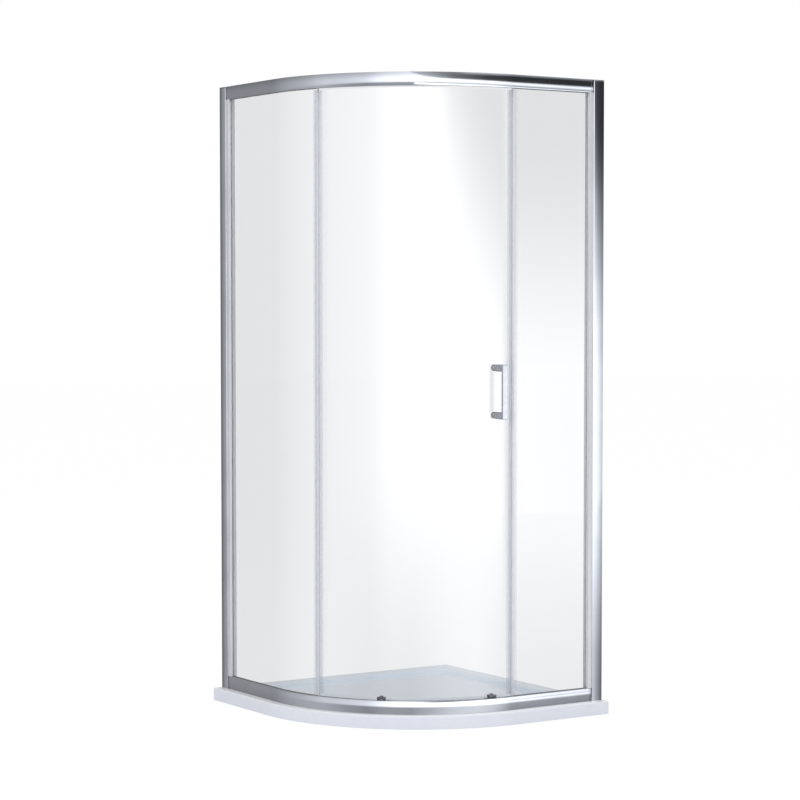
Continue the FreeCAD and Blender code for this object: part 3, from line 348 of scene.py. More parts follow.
def draw_up(name: str, plan: Sequence[Place], foot: float, head: float) -> Piece:
    """Traces a section in plan and draws it upwards.

    Args:
        name: The piece's name.
        plan: The section's corners, as x and y.
        foot: The height of the lower end.
        head: The height of the upper end.

    Returns:
        The piece, in object mode.
    """
    piece = trace(name, [(x, y, foot) for x, y in plan])
    push((0, 0, head - foot))
    face_out()
    return piece


def turn_round(name: str, profile: Sequence[Place], sides: int) -> Piece:
    """Traces half a section beside an axle along +X, at height zero, and spins it round.

    Args:
        name: The piece's name.
        profile: The half section's corners, as distance along the axle and distance from it.
        sides: How many segments go round.

    Returns:
        The piece, in object mode.
    """
    piece = trace(name, [(along, 0.0, reach) for along, reach in profile], filled=False)
    bend(FULL_TURN, sides, Vector(), ALONG_X)
    face_out()
    return piece


def quarter_round(steps: int = 8) -> list:
    """Returns the angles of a quarter turn in equal steps, with both its ends."""
    return [QUARTER_TURN * step / steps for step in range(steps + 1)]


def mirror_to_right(piece: Piece) -> None:
    """Reflects a left piece across the tray's diagonal, which makes it the right one."""
    take(piece)
    piece.data.transform(Matrix(((0, 1, 0, 0), (1, 0, 0, 0), (0, 0, 1, 0), (0, 0, 0, 1))))
    edit(piece)
    face_out()


# ---------------------------------------------------------------------------------------------
# Finishes
# ---------------------------------------------------------------------------------------------


class Recipe:
    """A node tree being written for a material or for the studio's world."""

    def __init__(self, owner: bpy.types.ID) -> None:
        """Starts with an empty tree.

        Args:
            owner: The new material or world.
        """
        owner.use_nodes = True
        self.owner = owner
        self.tree = owner.node_tree
        self.tree.nodes.clear()

    def add(self, kind: str, **settings: object) -> Node:
        """Adds a node.

        Args:
            kind: The node's type, without the words that all types start with.
            settings: Values of its properties, or of its sockets, by name with _ for a space or
                by number as slot0, slot1 and so on.

        Returns:
            The node.
        """
        node = self.tree.nodes.new("ShaderNode" + kind)
        for name, value in settings.items():
            socket = name.replace("_", " ")
            if socket in node.inputs:
                self.feed(node.inputs[socket], value)
            elif name.startswith("slot"):
                self.feed(node.inputs[int(name[4:])], value)
            else:
                setattr(node, name, value)
        return node

    def feed(self, socket: Socket, value: object) -> None:
        """Links a socket to another, or sets its own value."""
        if isinstance(value, Socket):
            self.tree.links.new(value, socket)
        else:
            socket.default_value = value

    def maths(self, operation: str, *values: object) -> Socket:
        """Works out one operation on values or sockets and returns the result."""
        slots = {f"slot{index}": value for index, value in enumerate(values)}
        return self.add("Math", operation=operation, **slots).outputs[0]

    def remap(
        self,
        source: Socket,
        span: tuple,
        low: object = 0.0,
        high: object = 1.0,
        way: str = "LINEAR",
    ) -> Socket:
        """Spreads a span of values over the range from low to high.

        Args:
            source: The values.
            span: The value that gives low and the value that gives high.
            low: What the span's start becomes, as a number or a socket.
            high: What the span's end becomes.
            way: How it goes from one to the other.

        Returns:
            The new values.
        """
        return self.add(
            "MapRange", interpolation_type=way, Value=source, From_Min=span[0],
            From_Max=span[1], To_Min=low, To_Max=high,
        ).outputs[0]

    def ramp(self, source: Socket, stops: Sequence[tuple]) -> Socket:
        """Colours a value by a ramp.

        Args:
            source: The value.
            stops: Pairs of position and colour.

        Returns:
            The colour.
        """
        node = self.add("ValToRGB", Fac=source)
        elements = node.color_ramp.elements
        elements.remove(elements[-1])
        elements[0].position = stops[0][0]
        elements[0].color = (*stops[0][1], 1)
        for position, colour in stops[1:]:
            elements.new(position).color = (*colour, 1)
        return node.outputs[0]

    def axes(self, place: Socket) -> tuple:
        """Returns the x, y and z of a place or a direction."""
        return tuple(self.add("SeparateXYZ", Vector=place).outputs)

    def place(self) -> Socket:
        """Returns the point of the piece that is being shaded, in metres."""
        return self.add("TexCoord").outputs["Object"]

    def cloud(self, size: float, stretch: Place = (1, 1, 1), detail: float = 3.0) -> Socket:
        """Adds a noise over the piece.

        Args:
            size: How many times per metre it changes.
            stretch: Its scale along each direction.
            detail: How many finer layers it has.

        Returns:
            The noise, from 0 to 1.
        """
        mapped = self.add("Mapping", Vector=self.place(), Scale=tuple(stretch)).outputs[0]
        return self.add("TexNoise", Vector=mapped, Scale=size, Detail=detail).outputs["Fac"]

    def between(self, noise: Socket, low: float, high: float) -> Socket:
        """Spreads the middle of a noise over a range of values."""
        return self.remap(noise, (0.3, 0.7), low, high)

    def tones(self, noise: Socket, dark: Place, light: Place) -> Socket:
        """Mixes two colours by the middle of a noise."""
        return self.ramp(noise, ((0.3, dark), (0.7, light)))

    def relief(self, noise: Socket, depth: float, strength: float) -> Socket:
        """Turns a noise into a bump of a depth in metres."""
        return self.add("Bump", Height=noise, Distance=depth, Strength=strength).outputs[0]

    def mirror_share(self, head_on: float) -> Socket:
        """Works out how much of the light a clear face mirrors, more where it is seen at a slant.

        Both sides of a sheet mirror alike, which a Fresnel node doesn't give without bending.

        Args:
            head_on: The share that it mirrors where it is seen straight on.

        Returns:
            The share.
        """
        facing = self.add("LayerWeight", Blend=0.5).outputs["Facing"]
        steep = self.maths("POWER", facing, 5.0)
        return self.maths("MULTIPLY_ADD", steep, 1.0 - head_on, head_on)

    def blend(self, share: Socket, one: Node, other: Node) -> Node:
        """Mixes two shaders by a share and returns the mix."""
        ends = {"slot1": one.outputs[0], "slot2": other.outputs[0]}
        return self.add("MixShader", slot0=share, **ends)

    def end(self, shader: Node, kind: str = "OutputMaterial") -> bpy.types.ID:
        """Ends the tree in a shader and returns the material or world."""
        self.add(kind, Surface=shader.outputs[0])
        return self.owner


def recipe_for(finish: object) -> Recipe:
    """Starts the material of a finish, under the finish's name."""
    return Recipe(bpy.data.materials.new(finish.name))


@dataclass(frozen=True)
class DrawnAluminium:
    """Aluminium with the fine die lines of an extrusion."""

    name: str
    grain: Grain
    dark: tuple = (0.62, 0.65, 0.72)
    light: tuple = (0.70, 0.73, 0.805)
    gloss: tuple = (0.05, 0.09)
    metal: float = 1.0
    patches: float = 9.0
    line_layers: float = 4.0
    line_relief: tuple = (0.00002, 0.35)

    def make(self) -> Material:
        """Returns the material."""
        recipe = recipe_for(self)
        lines = recipe.cloud(1.0, self.grain.value, self.line_layers)
        return recipe.end(recipe.add(
            "BsdfPrincipled",
            Base_Color=recipe.tones(recipe.cloud(self.patches), self.dark, self.light),
            Roughness=recipe.between(lines, *self.gloss),
            Normal=recipe.relief(lines, *self.line_relief),
            Metallic=self.metal,
        ))


@dataclass(frozen=True)
class Chrome:
    """Bright plating, with the slight waviness that it has."""

    name: str
    dark: tuple
    light: tuple
    gloss: tuple
    wave: float
    patches: float = 60.0
    mottle: float = 220.0
    waves: float = 45.0

    def make(self) -> Material:
        """Returns the material."""
        recipe = recipe_for(self)
        return recipe.end(recipe.add(
            "BsdfPrincipled",
            Base_Color=recipe.tones(recipe.cloud(self.patches), self.dark, self.light),
            Roughness=recipe.between(recipe.cloud(self.mottle), *self.gloss),
            Normal=recipe.relief(recipe.cloud(self.waves), self.wave, 0.5),
            Metallic=1.0,
        ))


@dataclass(frozen=True)
class SheetGlass:
    """Clear toughened glass, with a trace of water haze on it."""

    name: str = "clear glass"
    tint: tuple = (0.952, 0.957, 0.962, 1)
    head_on: float = 0.1
    haze: tuple = (0.0, 0.02)
    haze_size: float = 7.0
    haze_stretch: tuple = (1, 1, 0.4)

    def make(self) -> Material:
        """Returns the material."""
        recipe = recipe_for(self)
        haze = recipe.between(recipe.cloud(self.haze_size, self.haze_stretch), *self.haze)
        through = recipe.add("BsdfTransparent", Color=self.tint)
        mirror = recipe.add("BsdfGlossy", Color=(1, 1, 1, 1), Roughness=haze)
        return recipe.end(recipe.blend(recipe.mirror_share(self.head_on), through, mirror))


@dataclass(frozen=True)
class GlassEdge:
    """The ground narrow face of a pane, which looks milky."""

    name: str = "ground glass edge"
    dark: tuple = (0.88, 0.89, 0.92)
    light: tuple = (0.94, 0.95, 0.97)
    gloss: tuple = (0.15, 0.3)
    grind: float = 400.0
    grind_stretch: tuple = (1, 1, 0.1)

    def make(self) -> Material:
        """Returns the material."""
        recipe = recipe_for(self)
        grind = recipe.cloud(self.grind, self.grind_stretch)
        return recipe.end(recipe.add(
            "BsdfPrincipled",
            Base_Color=recipe.tones(grind, self.dark, self.light),
            Roughness=recipe.between(grind, *self.gloss),
        ))


@dataclass(frozen=True)
class ClearVinyl:
    """Half clear strip, milkier where it is seen at a slant."""

    name: str = "clear seal"
    milk: float = 0.08
    slant: float = 0.18
    dark: tuple = (0.92, 0.92, 0.95)
    light: tuple = (0.95, 0.95, 0.975)
    clear: tuple = (0.955, 0.96, 0.97, 1)
    gloss: tuple = (0.2, 0.34)
    streaks: tuple = (260.0, 260.0, 0.3)
    streak_relief: tuple = (0.000005, 0.1)

    def make(self) -> Material:
        """Returns the material."""
        recipe = recipe_for(self)
        streaks = recipe.cloud(1.0, self.streaks)
        body = recipe.add(
            "BsdfPrincipled",
            Base_Color=recipe.tones(streaks, self.dark, self.light),
            Roughness=recipe.between(streaks, *self.gloss),
            Normal=recipe.relief(streaks, *self.streak_relief),
        )
        through = recipe.add("BsdfTransparent", Color=self.clear)
        facing = recipe.add("LayerWeight", Blend=0.35).outputs["Facing"]
        share = recipe.remap(facing, (0.0, 1.0), self.milk, self.milk + self.slant)
        return recipe.end(recipe.blend(share, through, body))


@dataclass(frozen=True)
class Moulded:
    """A plain moulded or ground material: plastic, rubber or steel."""

    name: str
    dark: tuple
    light: tuple
    gloss: tuple
    grain: float
    depth: float = 0.00003
    metal: float = 0.0
    patch_grains: float = 12.0

    def make(self) -> Material:
        """Returns the material."""
        recipe = recipe_for(self)
        grain = recipe.cloud(self.grain)
        patches = recipe.cloud(self.grain / self.patch_grains)
        return recipe.end(recipe.add(
            "BsdfPrincipled",
            Base_Color=recipe.tones(patches, self.dark, self.light),
            Roughness=recipe.between(grain, *self.gloss),
            Normal=recipe.relief(grain, self.depth, 0.4),
            Metallic=self.metal,
        ))


@dataclass(frozen=True)
class TrayAcrylic:
    """Glossy white acrylic, a trace bluer in the basin. The top of the rim outside the rails is
    painted near white: a painted highlight for the light that falls on it from above.
    """

    name: str = "white acrylic"
    dark: tuple = (0.775, 0.80, 0.88)
    light: tuple = (0.795, 0.82, 0.90)
    basin: tuple = (0.785, 0.86, 0.955, 1)
    # painted highlight: the rim's top outside the rails is painted near white for the light that
    # falls on it from above
    rim: tuple = (0.98, 0.985, 1.0, 1)
    rail_reach: tuple = (0.5225, 0.5245)
    # the heights over which the painted highlight comes in, up to the rim's top
    painted_highlight_level: tuple = (0.0380, 0.0396)
    gloss: tuple = (0.12, 0.2)
    patches: float = 60.0
    grain: float = 700.0
    grain_relief: tuple = (0.00001, 0.4)

    def make(self) -> Material:
        """Returns the material."""
        recipe = recipe_for(self)
        x, y, z = recipe.axes(recipe.place())
        past = [
            recipe.maths("MAXIMUM", recipe.maths("SUBTRACT", centre, axis), 0.0)
            for axis, centre in ((x, CENTRE.x), (y, CENTRE.y))
        ]
        flat = recipe.add("CombineXYZ", slot0=past[0], slot1=past[1]).outputs[0]
        reach = recipe.add("VectorMath", operation="LENGTH", slot0=flat).outputs["Value"]
        outside = recipe.remap(reach, self.rail_reach)
        # where the painted highlight goes: the top of the rim, outside the rails
        painted_highlight_on_rim = recipe.maths("MULTIPLY", outside, recipe.remap(z, self.painted_highlight_level))
        skirt = recipe.tones(recipe.cloud(self.patches), self.dark, self.light)
        paint = self.basin
        # the skirt's own tones outside the rails, then the painted highlight on the rim's top
        for share, over in ((outside, skirt), (painted_highlight_on_rim, self.rim)):
            mix = recipe.add("Mix", data_type="RGBA", slot0=share, slot6=paint, slot7=over)
            paint = mix.outputs[2]
        grain = recipe.cloud(self.grain)
        return recipe.end(recipe.add(
            "BsdfPrincipled",
            Base_Color=paint,
            Roughness=recipe.between(grain, *self.gloss),
            Normal=recipe.relief(grain, *self.grain_relief),
            Coat_Weight=0.35,
            Coat_Roughness=0.06,
        ))


class Finishes:
    """Every material of the enclosure, made once."""

    def __init__(self) -> None:
        """Makes the materials."""
        self.rail = DrawnAluminium("polished rail", Grain.ALONG_RAIL).make()
        self.upright = DrawnAluminium("polished upright", Grain.UPRIGHT).make()
        self.satin = DrawnAluminium(
            "satin side profile", Grain.UPRIGHT, (0.74, 0.75, 0.79), (0.80, 0.81, 0.85),
            (0.34, 0.42), metal=0.5,
        ).make()
        self.chromed_plastic = Chrome(
            "chromed plastic", (0.46, 0.48, 0.53), (0.54, 0.56, 0.61), (0.08, 0.16), 0.00005
        ).make()
        self.handle = Chrome(
            "handle chrome", (0.50, 0.51, 0.56), (0.56, 0.57, 0.62), (0.05, 0.1), 0.00002
        ).make()
        self.bracket = Chrome(
            "dark chromed bracket", (0.16, 0.16, 0.18), (0.22, 0.22, 0.24), (0.1, 0.2), 0.00004
        ).make()
        self.glass = SheetGlass().make()
        self.glass_edge = GlassEdge().make()
        self.seal = ClearVinyl().make()
        self.washer = ClearVinyl("clear washer", milk=0.6, slant=0.3).make()
        self.pale_gasket = Moulded(
            "pale gasket", (0.82, 0.82, 0.86), (0.87, 0.87, 0.91), (0.3, 0.45), 900.0, 0.00001
        ).make()
        self.gasket = Moulded(
            "grey gasket", (0.24, 0.24, 0.25), (0.30, 0.30, 0.31), (0.35, 0.5), 900.0
        ).make()
        self.acrylic = TrayAcrylic().make()
        self.rubber = Moulded(
            "dark rubber", (0.05, 0.05, 0.055), (0.09, 0.09, 0.095), (0.45, 0.6), 900.0
        ).make()
        self.nylon = Moulded(
            "white nylon", (0.70, 0.70, 0.70), (0.78, 0.78, 0.78), (0.35, 0.5), 500.0
        ).make()
        self.steel = Moulded(
            "ground steel", (0.45, 0.45, 0.46), (0.55, 0.55, 0.56), (0.18, 0.3), 1500.0,
            0.00002, metal=1.0,
        ).make()


def dress(piece: Piece, *materials: Material) -> None:
    """Gives a piece its materials, in the order of its slots."""
    piece.data.materials.clear()
    for material in materials:
        piece.data.materials.append(material)


def fit(piece: Piece, body: str, node: str) -> None:
    """Hands a finished piece over to the frame.

    Args:
        piece: The piece.
        body: The body that it moves with.
        node: The CAD node that it stands for.
    """
    drop_selection()
    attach(piece, body)
    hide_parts(node)
    log.info("%s rides on %s: %d faces", piece.name, body, len(piece.data.polygons))


def fit_both(piece: Piece, node: str, material: Material) -> None:
    """Dresses a left piece, reflects a copy of it to the right and hands both over.

    Args:
        piece: The left piece, whose name ends in "_left".
        node: The start of the names of the two CAD nodes that they stand for.
        material: What they are made of.
    """
    smooth(piece, 35)
    dress(piece, material)
    other = twin(piece, piece.name.replace("_left", "_right"))
    mirror_to_right(other)
    smooth(other, 35)
    fit(piece, "enclosure", node + "_left")
    fit(other, "enclosure", node + "_right")


# ---------------------------------------------------------------------------------------------
# The enclosure's sub-assemblies
# ---------------------------------------------------------------------------------------------


@dataclass
class Assembly:
    """What every sub-assembly has: the finishes that it is dressed in."""

    finishes: Finishes


@dataclass
class CarriedNodes(Assembly):
    """The CAD nodes. Those whose shape is right only get a finish, and the rest are replaced."""

    nodes: dict

    def finish_of(self, name: str) -> Material:
        """Returns the material of a node by what its name says that it is."""
        given = self.finishes
        words = {
            "side_gasket": given.pale_gasket,
            "gasket": given.gasket,
            "stops": given.rubber,
            "washers": given.washer,
            "guides": given.nylon,
            "covers": given.chromed_plastic,
            "housing": given.bracket,
            "slider": given.bracket,
        }
        return next((words[word] for word in words if word in name), given.steel)

    def make(self) -> None:
        """Puts its material in every slot of every node and leaves the meshes alone."""
        for name, node in sorted(self.nodes.items()):
            if not node.material_slots:
                node.data.materials.append(None)
            for slot in node.material_slots:
                slot.material = self.finish_of(name)
            log.info("%s is dressed on its CAD mesh", name)


@dataclass
class Tray(Assembly):
    """The low corner tray with its rim, bank, falling floor and waste hole."""

    half: float = 0.45
    height: float = 0.04
    corner: float = 0.003
    lip_radius: float = 0.005
    rim: float = 0.06
    bank: float = 0.016
    floor_level: float = 0.024
    basin_corner: float = 0.05
    basin_radius: float = 0.003
    waste: float = -0.17577
    dish_level: float = 0.018
    dish_radius: float = 0.058
    waste_step: float = 0.0155
    waste_radius: float = 0.045
    margin: float = 0.02
    lip_angle: float = 0.5
    basin_angle: float = 0.3
    arc_steps: int = 64
    corner_steps: int = 8

    def outline(self, inset: float, corner: float, level: float) -> Piece:
        """Traces the tray's outline, set in from its edge, and rounds its three corners.

        Args:
            inset: How far the outline lies inside the tray's edge.
            corner: The radius of its corners.
            level: Its height.

        Returns:
            The outline.
        """
        near, far = -self.half + inset, self.half - inset
        ring = start_point("outline", (near, CENTRE.y, level))
        bend(QUARTER_TURN, self.arc_steps)
        corners = ((far, near), (far, far), (near, far))
        plan = ((CENTRE.x, near), *corners, (near, CENTRE.y))
        walk_through([(x, y, level) for x, y in plan])
        weld()
        round_off(
            ring,
            corner,
            self.corner_steps,
            lambda vert: any(same(vert.co.x, x) and same(vert.co.y, y) for x, y in corners),
            Element.VERT,
        )
        return ring

    def circle(self, radius: float, level: float) -> Piece:
        """Makes a circle round the waste, with as many points as an outline has."""
        drop_selection()
        points = self.arc_steps + 1 + 3 * (self.corner_steps + 1)
        bpy.ops.mesh.primitive_circle_add(
            vertices=points, radius=radius, location=(self.waste, self.waste, level)
        )
        return settle("circle")

    def bridge(self, tray: Piece, names: Sequence[str]) -> None:
        """Closes the tray with a band from each ring to the next and from the last to the first.

        Args:
            tray: The tray, made of rings that are each a vertex group.
            names: The groups' names in order.
        """
        edit(tray)
        bpy.ops.mesh.select_mode(type="VERT")
        for pair in zip(names, [*names[1:], names[0]]):
            bpy.ops.mesh.select_all(action="DESELECT")
            for name in pair:
                bpy.ops.object.vertex_group_set_active(group=name)
                bpy.ops.object.vertex_group_select()
            bpy.ops.mesh.bridge_edge_loops()
        face_out()
        tray.vertex_groups.clear()

    def over_basin(self, edge: bmesh.types.BMEdge) -> bool:
        """True if an edge belongs to the basin rather than to the tray's outside."""
        middle = (edge.verts[0].co + edge.verts[1].co) / 2
        past_arc = (middle - CENTRE).to_2d().length > self.half + CENTRE.x - self.margin
        past_walls = max(middle.x, middle.y) > self.half - self.margin
        past_straights = min(middle.x, middle.y) < self.margin - self.half
        return not (past_arc or past_walls or past_straights)

    def is_lip(self, edge: bmesh.types.BMEdge) -> bool:
        """True if an edge is the tray's outer upper edge."""
        sharp = edge.calc_face_angle(0) > self.lip_angle
        return sharp and lies_at(edge, Z, self.height) and not self.over_basin(edge)

    def is_basin_edge(self, edge: bmesh.types.BMEdge) -> bool:
        """True if an edge runs round the basin, the bank or the dish, above the waste."""
        above = all(vert.co.z > self.waste_step + TIGHT for vert in edge.verts)
        return above and self.over_basin(edge) and edge.calc_face_angle(0) > self.basin_angle

    def make(self) -> None:
        """Builds the tray from its outlines, rounds its lip and its basin, and dresses it."""
        rings = {
            "foot": self.outline(0.0, self.corner, 0.0),
            "edge": self.outline(0.0, self.corner, self.height),
            "rim": self.outline(self.rim, self.basin_corner, self.height),
            "bank": self.outline(
                self.rim + self.bank, self.basin_corner - self.bank, self.floor_level
            ),
            "dish": self.circle(self.dish_radius, self.dish_level),
            "dish step": self.circle(self.dish_radius, self.waste_step),
            "waste edge": self.circle(self.waste_radius, self.waste_step),
            "waste foot": self.circle(self.waste_radius, 0.0),
        }
        for name, ring in rings.items():
            vertices = list(range(len(ring.data.vertices)))
            ring.vertex_groups.new(name=name).add(vertices, 1.0, "REPLACE")
        tray = join("tray", list(rings.values()))
        self.bridge(tray, list(rings))
        round_off(tray, self.lip_radius, 5, self.is_lip)
        round_off(tray, self.basin_radius, 4, self.is_basin_edge)
        smooth(tray, 50)
        dress(tray, self.finishes.acrylic)
        tray.visible_glossy = False
        fit(tray, "enclosure", "shower_tray")


@dataclass
class Rails(Assembly):
    """The two bent rails. Depths are measured inwards from the face's highest line."""

    face_radius: float = 0.523
    tall: float = 0.04
    bulge: float = 0.002
    face_steps: int = 10
    straight_end: float = 0.393
    arc_steps: int = 96
    top_foot: float = 1.91
    bottom_head: float = 0.08
    easing: float = 0.0004
    track: tuple = (
        (0.0185, 0.0), (0.0185, 0.009), (0.0246, 0.009), (0.0246, 0.014), (0.0226, 0.014),
        (0.0226, 0.011), (0.0185, 0.011),
    )
    hood: tuple = (
        (0.0185, 0.0384), (0.0409, 0.0384), (0.0409, 0.0345), (0.0425, 0.0345), (0.0425, 0.04),
    )
    bottom_back: tuple = ((0.0185, 0.04),)

    def face(self) -> list:
        """Returns the bulged outer face from the far edge to the near one, as depth and rise."""
        half = self.tall / 2
        points = []
        for step in range(self.face_steps + 1):
            rise = self.tall - self.tall * step / self.face_steps
            points.append((self.bulge * ((rise - half) / half) ** 2, rise))
        return points

    def levels(self) -> tuple:
        """Returns each rail's name, the height of its glass edge and which way its rise goes."""
        return (("top", self.top_foot, 1), ("bottom", self.bottom_head, -1))

    def run(self, name: str, section: Sequence[Place], foot: float, upward: int) -> Piece:
        """Traces a rail's section, bends it round the arc and draws out its straight ends.

        Args:
            name: The rail's name.
            section: The section's corners, as depth from the face and rise from the glass edge.
            foot: The height of the glass edge.
            upward: 1 where the rise goes up and -1 where it goes down.

        Returns:
            The rail.
        """
        face = CENTRE.x - self.face_radius
        rail = trace(
            name, [(face + depth, CENTRE.y, foot + upward * rise) for depth, rise in section]
        )
        bend(QUARTER_TURN, self.arc_steps)
        for axis, across in ((X, Y), (Y, X)):
            pick(
                rail,
                Element.FACE,
                lambda end: abs(end.normal[axis]) > SQUARE_ON
                and lies_at(end, axis, CENTRE[axis])
                and end.calc_center_median()[across] < 0,
            )
            step = Vector()
            step[axis] = self.straight_end - CENTRE[axis]
            push(step)
        face_out()
        ease(rail, self.easing)
        smooth(rail, 40)
        dress(rail, self.finishes.rail)
        return rail

    def make(self) -> None:
        """Builds both rails."""
        backs = {"top": self.hood, "bottom": self.bottom_back}
        for level, foot, upward in self.levels():
            section = [*self.face(), *GLASS_SLOT, *self.track, *backs[level]]
            rail = self.run(f"rail_{level}", section, foot, upward)
            fit(rail, "enclosure", f"{level}_rail")


@dataclass
class CornerBlocks(Assembly):
    """The cast blocks that carry the rails' face on to the wall profiles."""

    rails: Rails
    start: float = 0.393
    end: float = 0.4037
    inner: float = 0.0259
    rounding: float = 0.0044
    easing: float = 0.0004

    def is_nose(self, edge: bmesh.types.BMEdge) -> bool:
        """True if an edge of a left block runs up the face at its wall end."""
        front = FACE_LINE + self.rails.bulge + TIGHT
        return lies_at(edge, Y, self.end) and all(vert.co.x < front for vert in edge.verts)

    def make(self) -> None:
        """Builds the four blocks."""
        back = (*GLASS_SLOT, (self.inner, 0.0), (self.inner, self.rails.tall))
        for level, foot, upward in self.rails.levels():
            section = [*self.rails.face(), *back]
            block = trace(
                f"corner_{level}_left",
                [(FACE_LINE + depth, self.start, foot + upward * rise) for depth, rise in section],
            )
            push((0, self.end - self.start, 0))
            face_out()
            round_off(block, self.rounding, 5, self.is_nose)
            ease(block, self.easing, angle=60)
            material = self.finishes.chromed_plastic
            fit_both(block, f"corner_block_{level}", material)


@dataclass
class Uprights(Assembly):
    """The two profiles at each wall: a channel on the wall, and the profile that slides in it.

    Plans are given on the left straight, as depth from the rails' face and distance along it.
    """

    low: float = 0.0004
    high: float = 0.028
    bow: float = 0.0016
    sheet: float = 0.0018
    wall_line: float = 0.442
    front: float = 0.404
    nose_start: float = 0.4065
    nose_tilt: float = math.radians(48)
    bow_steps: int = 12
    nose_steps: int = 6
    foot: float = 0.04
    head: float = 1.945
    wall_easing: float = 0.00018
    cap_head: float = 1.95
    cap_rounding: float = 0.0022
    side_low: float = 0.0024
    side_high: float = 0.0259
    side_front: float = 0.389
    side_back: float = 0.438
    side_foot: float = 0.08
    side_head: float = 1.91
    side_round: float = 0.001
    side_easing: float = 0.0004
    pit: tuple = (0.0085, 0.0165, 0.406)

    def outer_face(self) -> list:
        """Returns the wall profile's bowed face, from the wall to the tip of its rounded nose."""
        middle = (self.wall_line + self.front) / 2
        half = (self.wall_line - self.front) / 2
        points = []
        for step in range(self.bow_steps + 1):
            along = self.wall_line + (self.nose_start - self.wall_line) * step / self.bow_steps
            points.append((self.low - self.bow * (1 - ((along - middle) / half) ** 2), along))
        first = math.atan(2 * self.bow * (middle - self.nose_start) / half ** 2)
        reach = self.nose_start - self.front
        radius = reach / (math.sin(self.nose_tilt) - math.sin(first))
        shoulder = points[-1][0]
        for step in range(1, self.nose_steps + 1):
            tilt = first + (self.nose_tilt - first) * step / self.nose_steps
            depth = shoulder + radius * (math.cos(first) - math.cos(tilt))
            points.append((depth, self.nose_start - radius * (math.sin(tilt) - math.sin(first))))
        return points

    def raised(self, name: str, plan: Sequence[Place], foot: float, head: float) -> Piece:
        """Draws a plan of the left straight upwards and returns the piece."""
        return draw_up(name, [(FACE_LINE + depth, along) for depth, along in plan], foot, head)

    def wall_profile(self) -> Piece:
        """Makes the channel on the left wall."""
        inner = self.low + self.sheet
        far = self.high - self.sheet
        floor = self.wall_line - self.sheet
        plan = [
            *self.outer_face(), (inner, self.front), (inner, floor), (far, floor),
            (far, self.front), (self.high, self.front), (self.high, self.wall_line),
        ]
        profile = self.raised("wall_channel_left", plan, self.foot, self.head)
        ease(profile, self.wall_easing)
        return profile

    def side_profile(self) -> Piece:
        """Makes the profile that holds the left pane, with a rounded outer corner."""
        near, far, floor = self.pit
        corner = [
            (
                self.side_low + self.side_round * (1 - math.cos(turn)),
                self.side_front + self.side_round * (1 - math.sin(turn)),
            )
            for turn in quarter_round()
        ]
        plan = [
            (self.side_low, self.side_back), *corner, (near, self.side_front), (near, floor),
            (far, floor), (far, self.side_front), (self.side_high, self.side_front),
            (self.side_high, self.side_back),
        ]
        profile = self.raised("side_channel_left", plan, self.side_foot, self.side_head)
        ease(profile, self.side_easing)
        return profile

    def cap(self) -> Piece:
        """Makes the moulded cap on the left wall profile, with a rounded top."""
        plan = [*self.outer_face(), (self.high, self.front), (self.high, self.wall_line)]
        cap = self.raised("cap_left", plan, self.head, self.cap_head)
        round_off(cap, self.cap_rounding, 4, lambda edge: lies_at(edge, Z, self.cap_head))
        return cap

    def make(self) -> None:
        """Builds the profiles and their caps at both walls."""
        given = self.finishes
        fit_both(self.wall_profile(), "wall_profile", given.upright)
        fit_both(self.side_profile(), "side_profile", given.satin)
        fit_both(self.cap(), "wall_cap", given.chromed_plastic)


@dataclass
class Panes(Assembly):
    """Sheets of glass, each started as its narrow upright edge and bent or drawn from there."""

    inner_radius: float = 0.5075
    foot: float = 0.0625
    head: float = 1.9275
    thick: float = 0.006
    arris: float = 0.0006

    def edge_on(self, name: str, angle: float) -> Piece:
        """Traces a pane's narrow upright face.

        Args:
            name: The pane's name.
            angle: Where the face stands on the arc, in radians.

        Returns:
            The face, open in edit mode and selected.
        """
        outwards = Vector((math.cos(angle), math.sin(angle), 0))
        near = CENTRE + outwards * self.inner_radius
        far = CENTRE + outwards * (self.inner_radius + self.thick)
        ends = ((near, self.foot), (far, self.foot), (far, self.head), (near, self.head))
        return trace(name, [place + UP * level for place, level in ends])

    def is_broad(self, face: bpy.types.MeshPolygon) -> bool:
        """True if a face is one of a pane's two broad faces and not its ground edge."""
        middle = face.center
        if middle.x < CENTRE.x and middle.y < CENTRE.y:
            outwards = (middle - CENTRE).to_2d().normalized()
            return abs(face.normal.to_2d().dot(outwards)) > SQUARE_ON
        return abs(face.normal[X if middle.x < middle.y else Y]) > SQUARE_ON

    def finish(self, pane: Piece) -> None:
        """Takes the arris off a pane's edges and dresses its faces and its ground edges."""
        ease(pane, self.arris, 1, 60)
        smooth(pane, 30)
        dress(pane, self.finishes.glass, self.finishes.glass_edge)
        for face in pane.data.polygons:
            face.material_index = 0 if self.is_broad(face) else 1


@dataclass
class FixedPanes(Panes):
    """The two fixed panes, the left one bent at its door edge."""

    wall_edge: float = 0.404
    left_bend: float = math.radians(21.05)
    bend_steps: int = 24
    right_edge: float = 0.1108

    def make(self) -> None:
        """Builds both panes."""
        left = self.edge_on("pane_left", math.pi)
        bend(self.left_bend, self.bend_steps)
        pick(left, Element.FACE, lambda face: lies_at(face, Y, CENTRE.y))
        push((0, self.wall_edge - CENTRE.y, 0))
        face_out()
        right = self.edge_on("pane_right", math.pi)
        push((0, self.wall_edge - self.right_edge, 0))
        pick_all()
        bpy.ops.transform.translate(value=(0, self.right_edge - CENTRE.y, 0))
        face_out()
        mirror_to_right(right)
        for pane, node in ((left, "fixed_glass_left"), (right, "fixed_glass_right")):
            self.finish(pane)
            fit(pane, "enclosure", node)


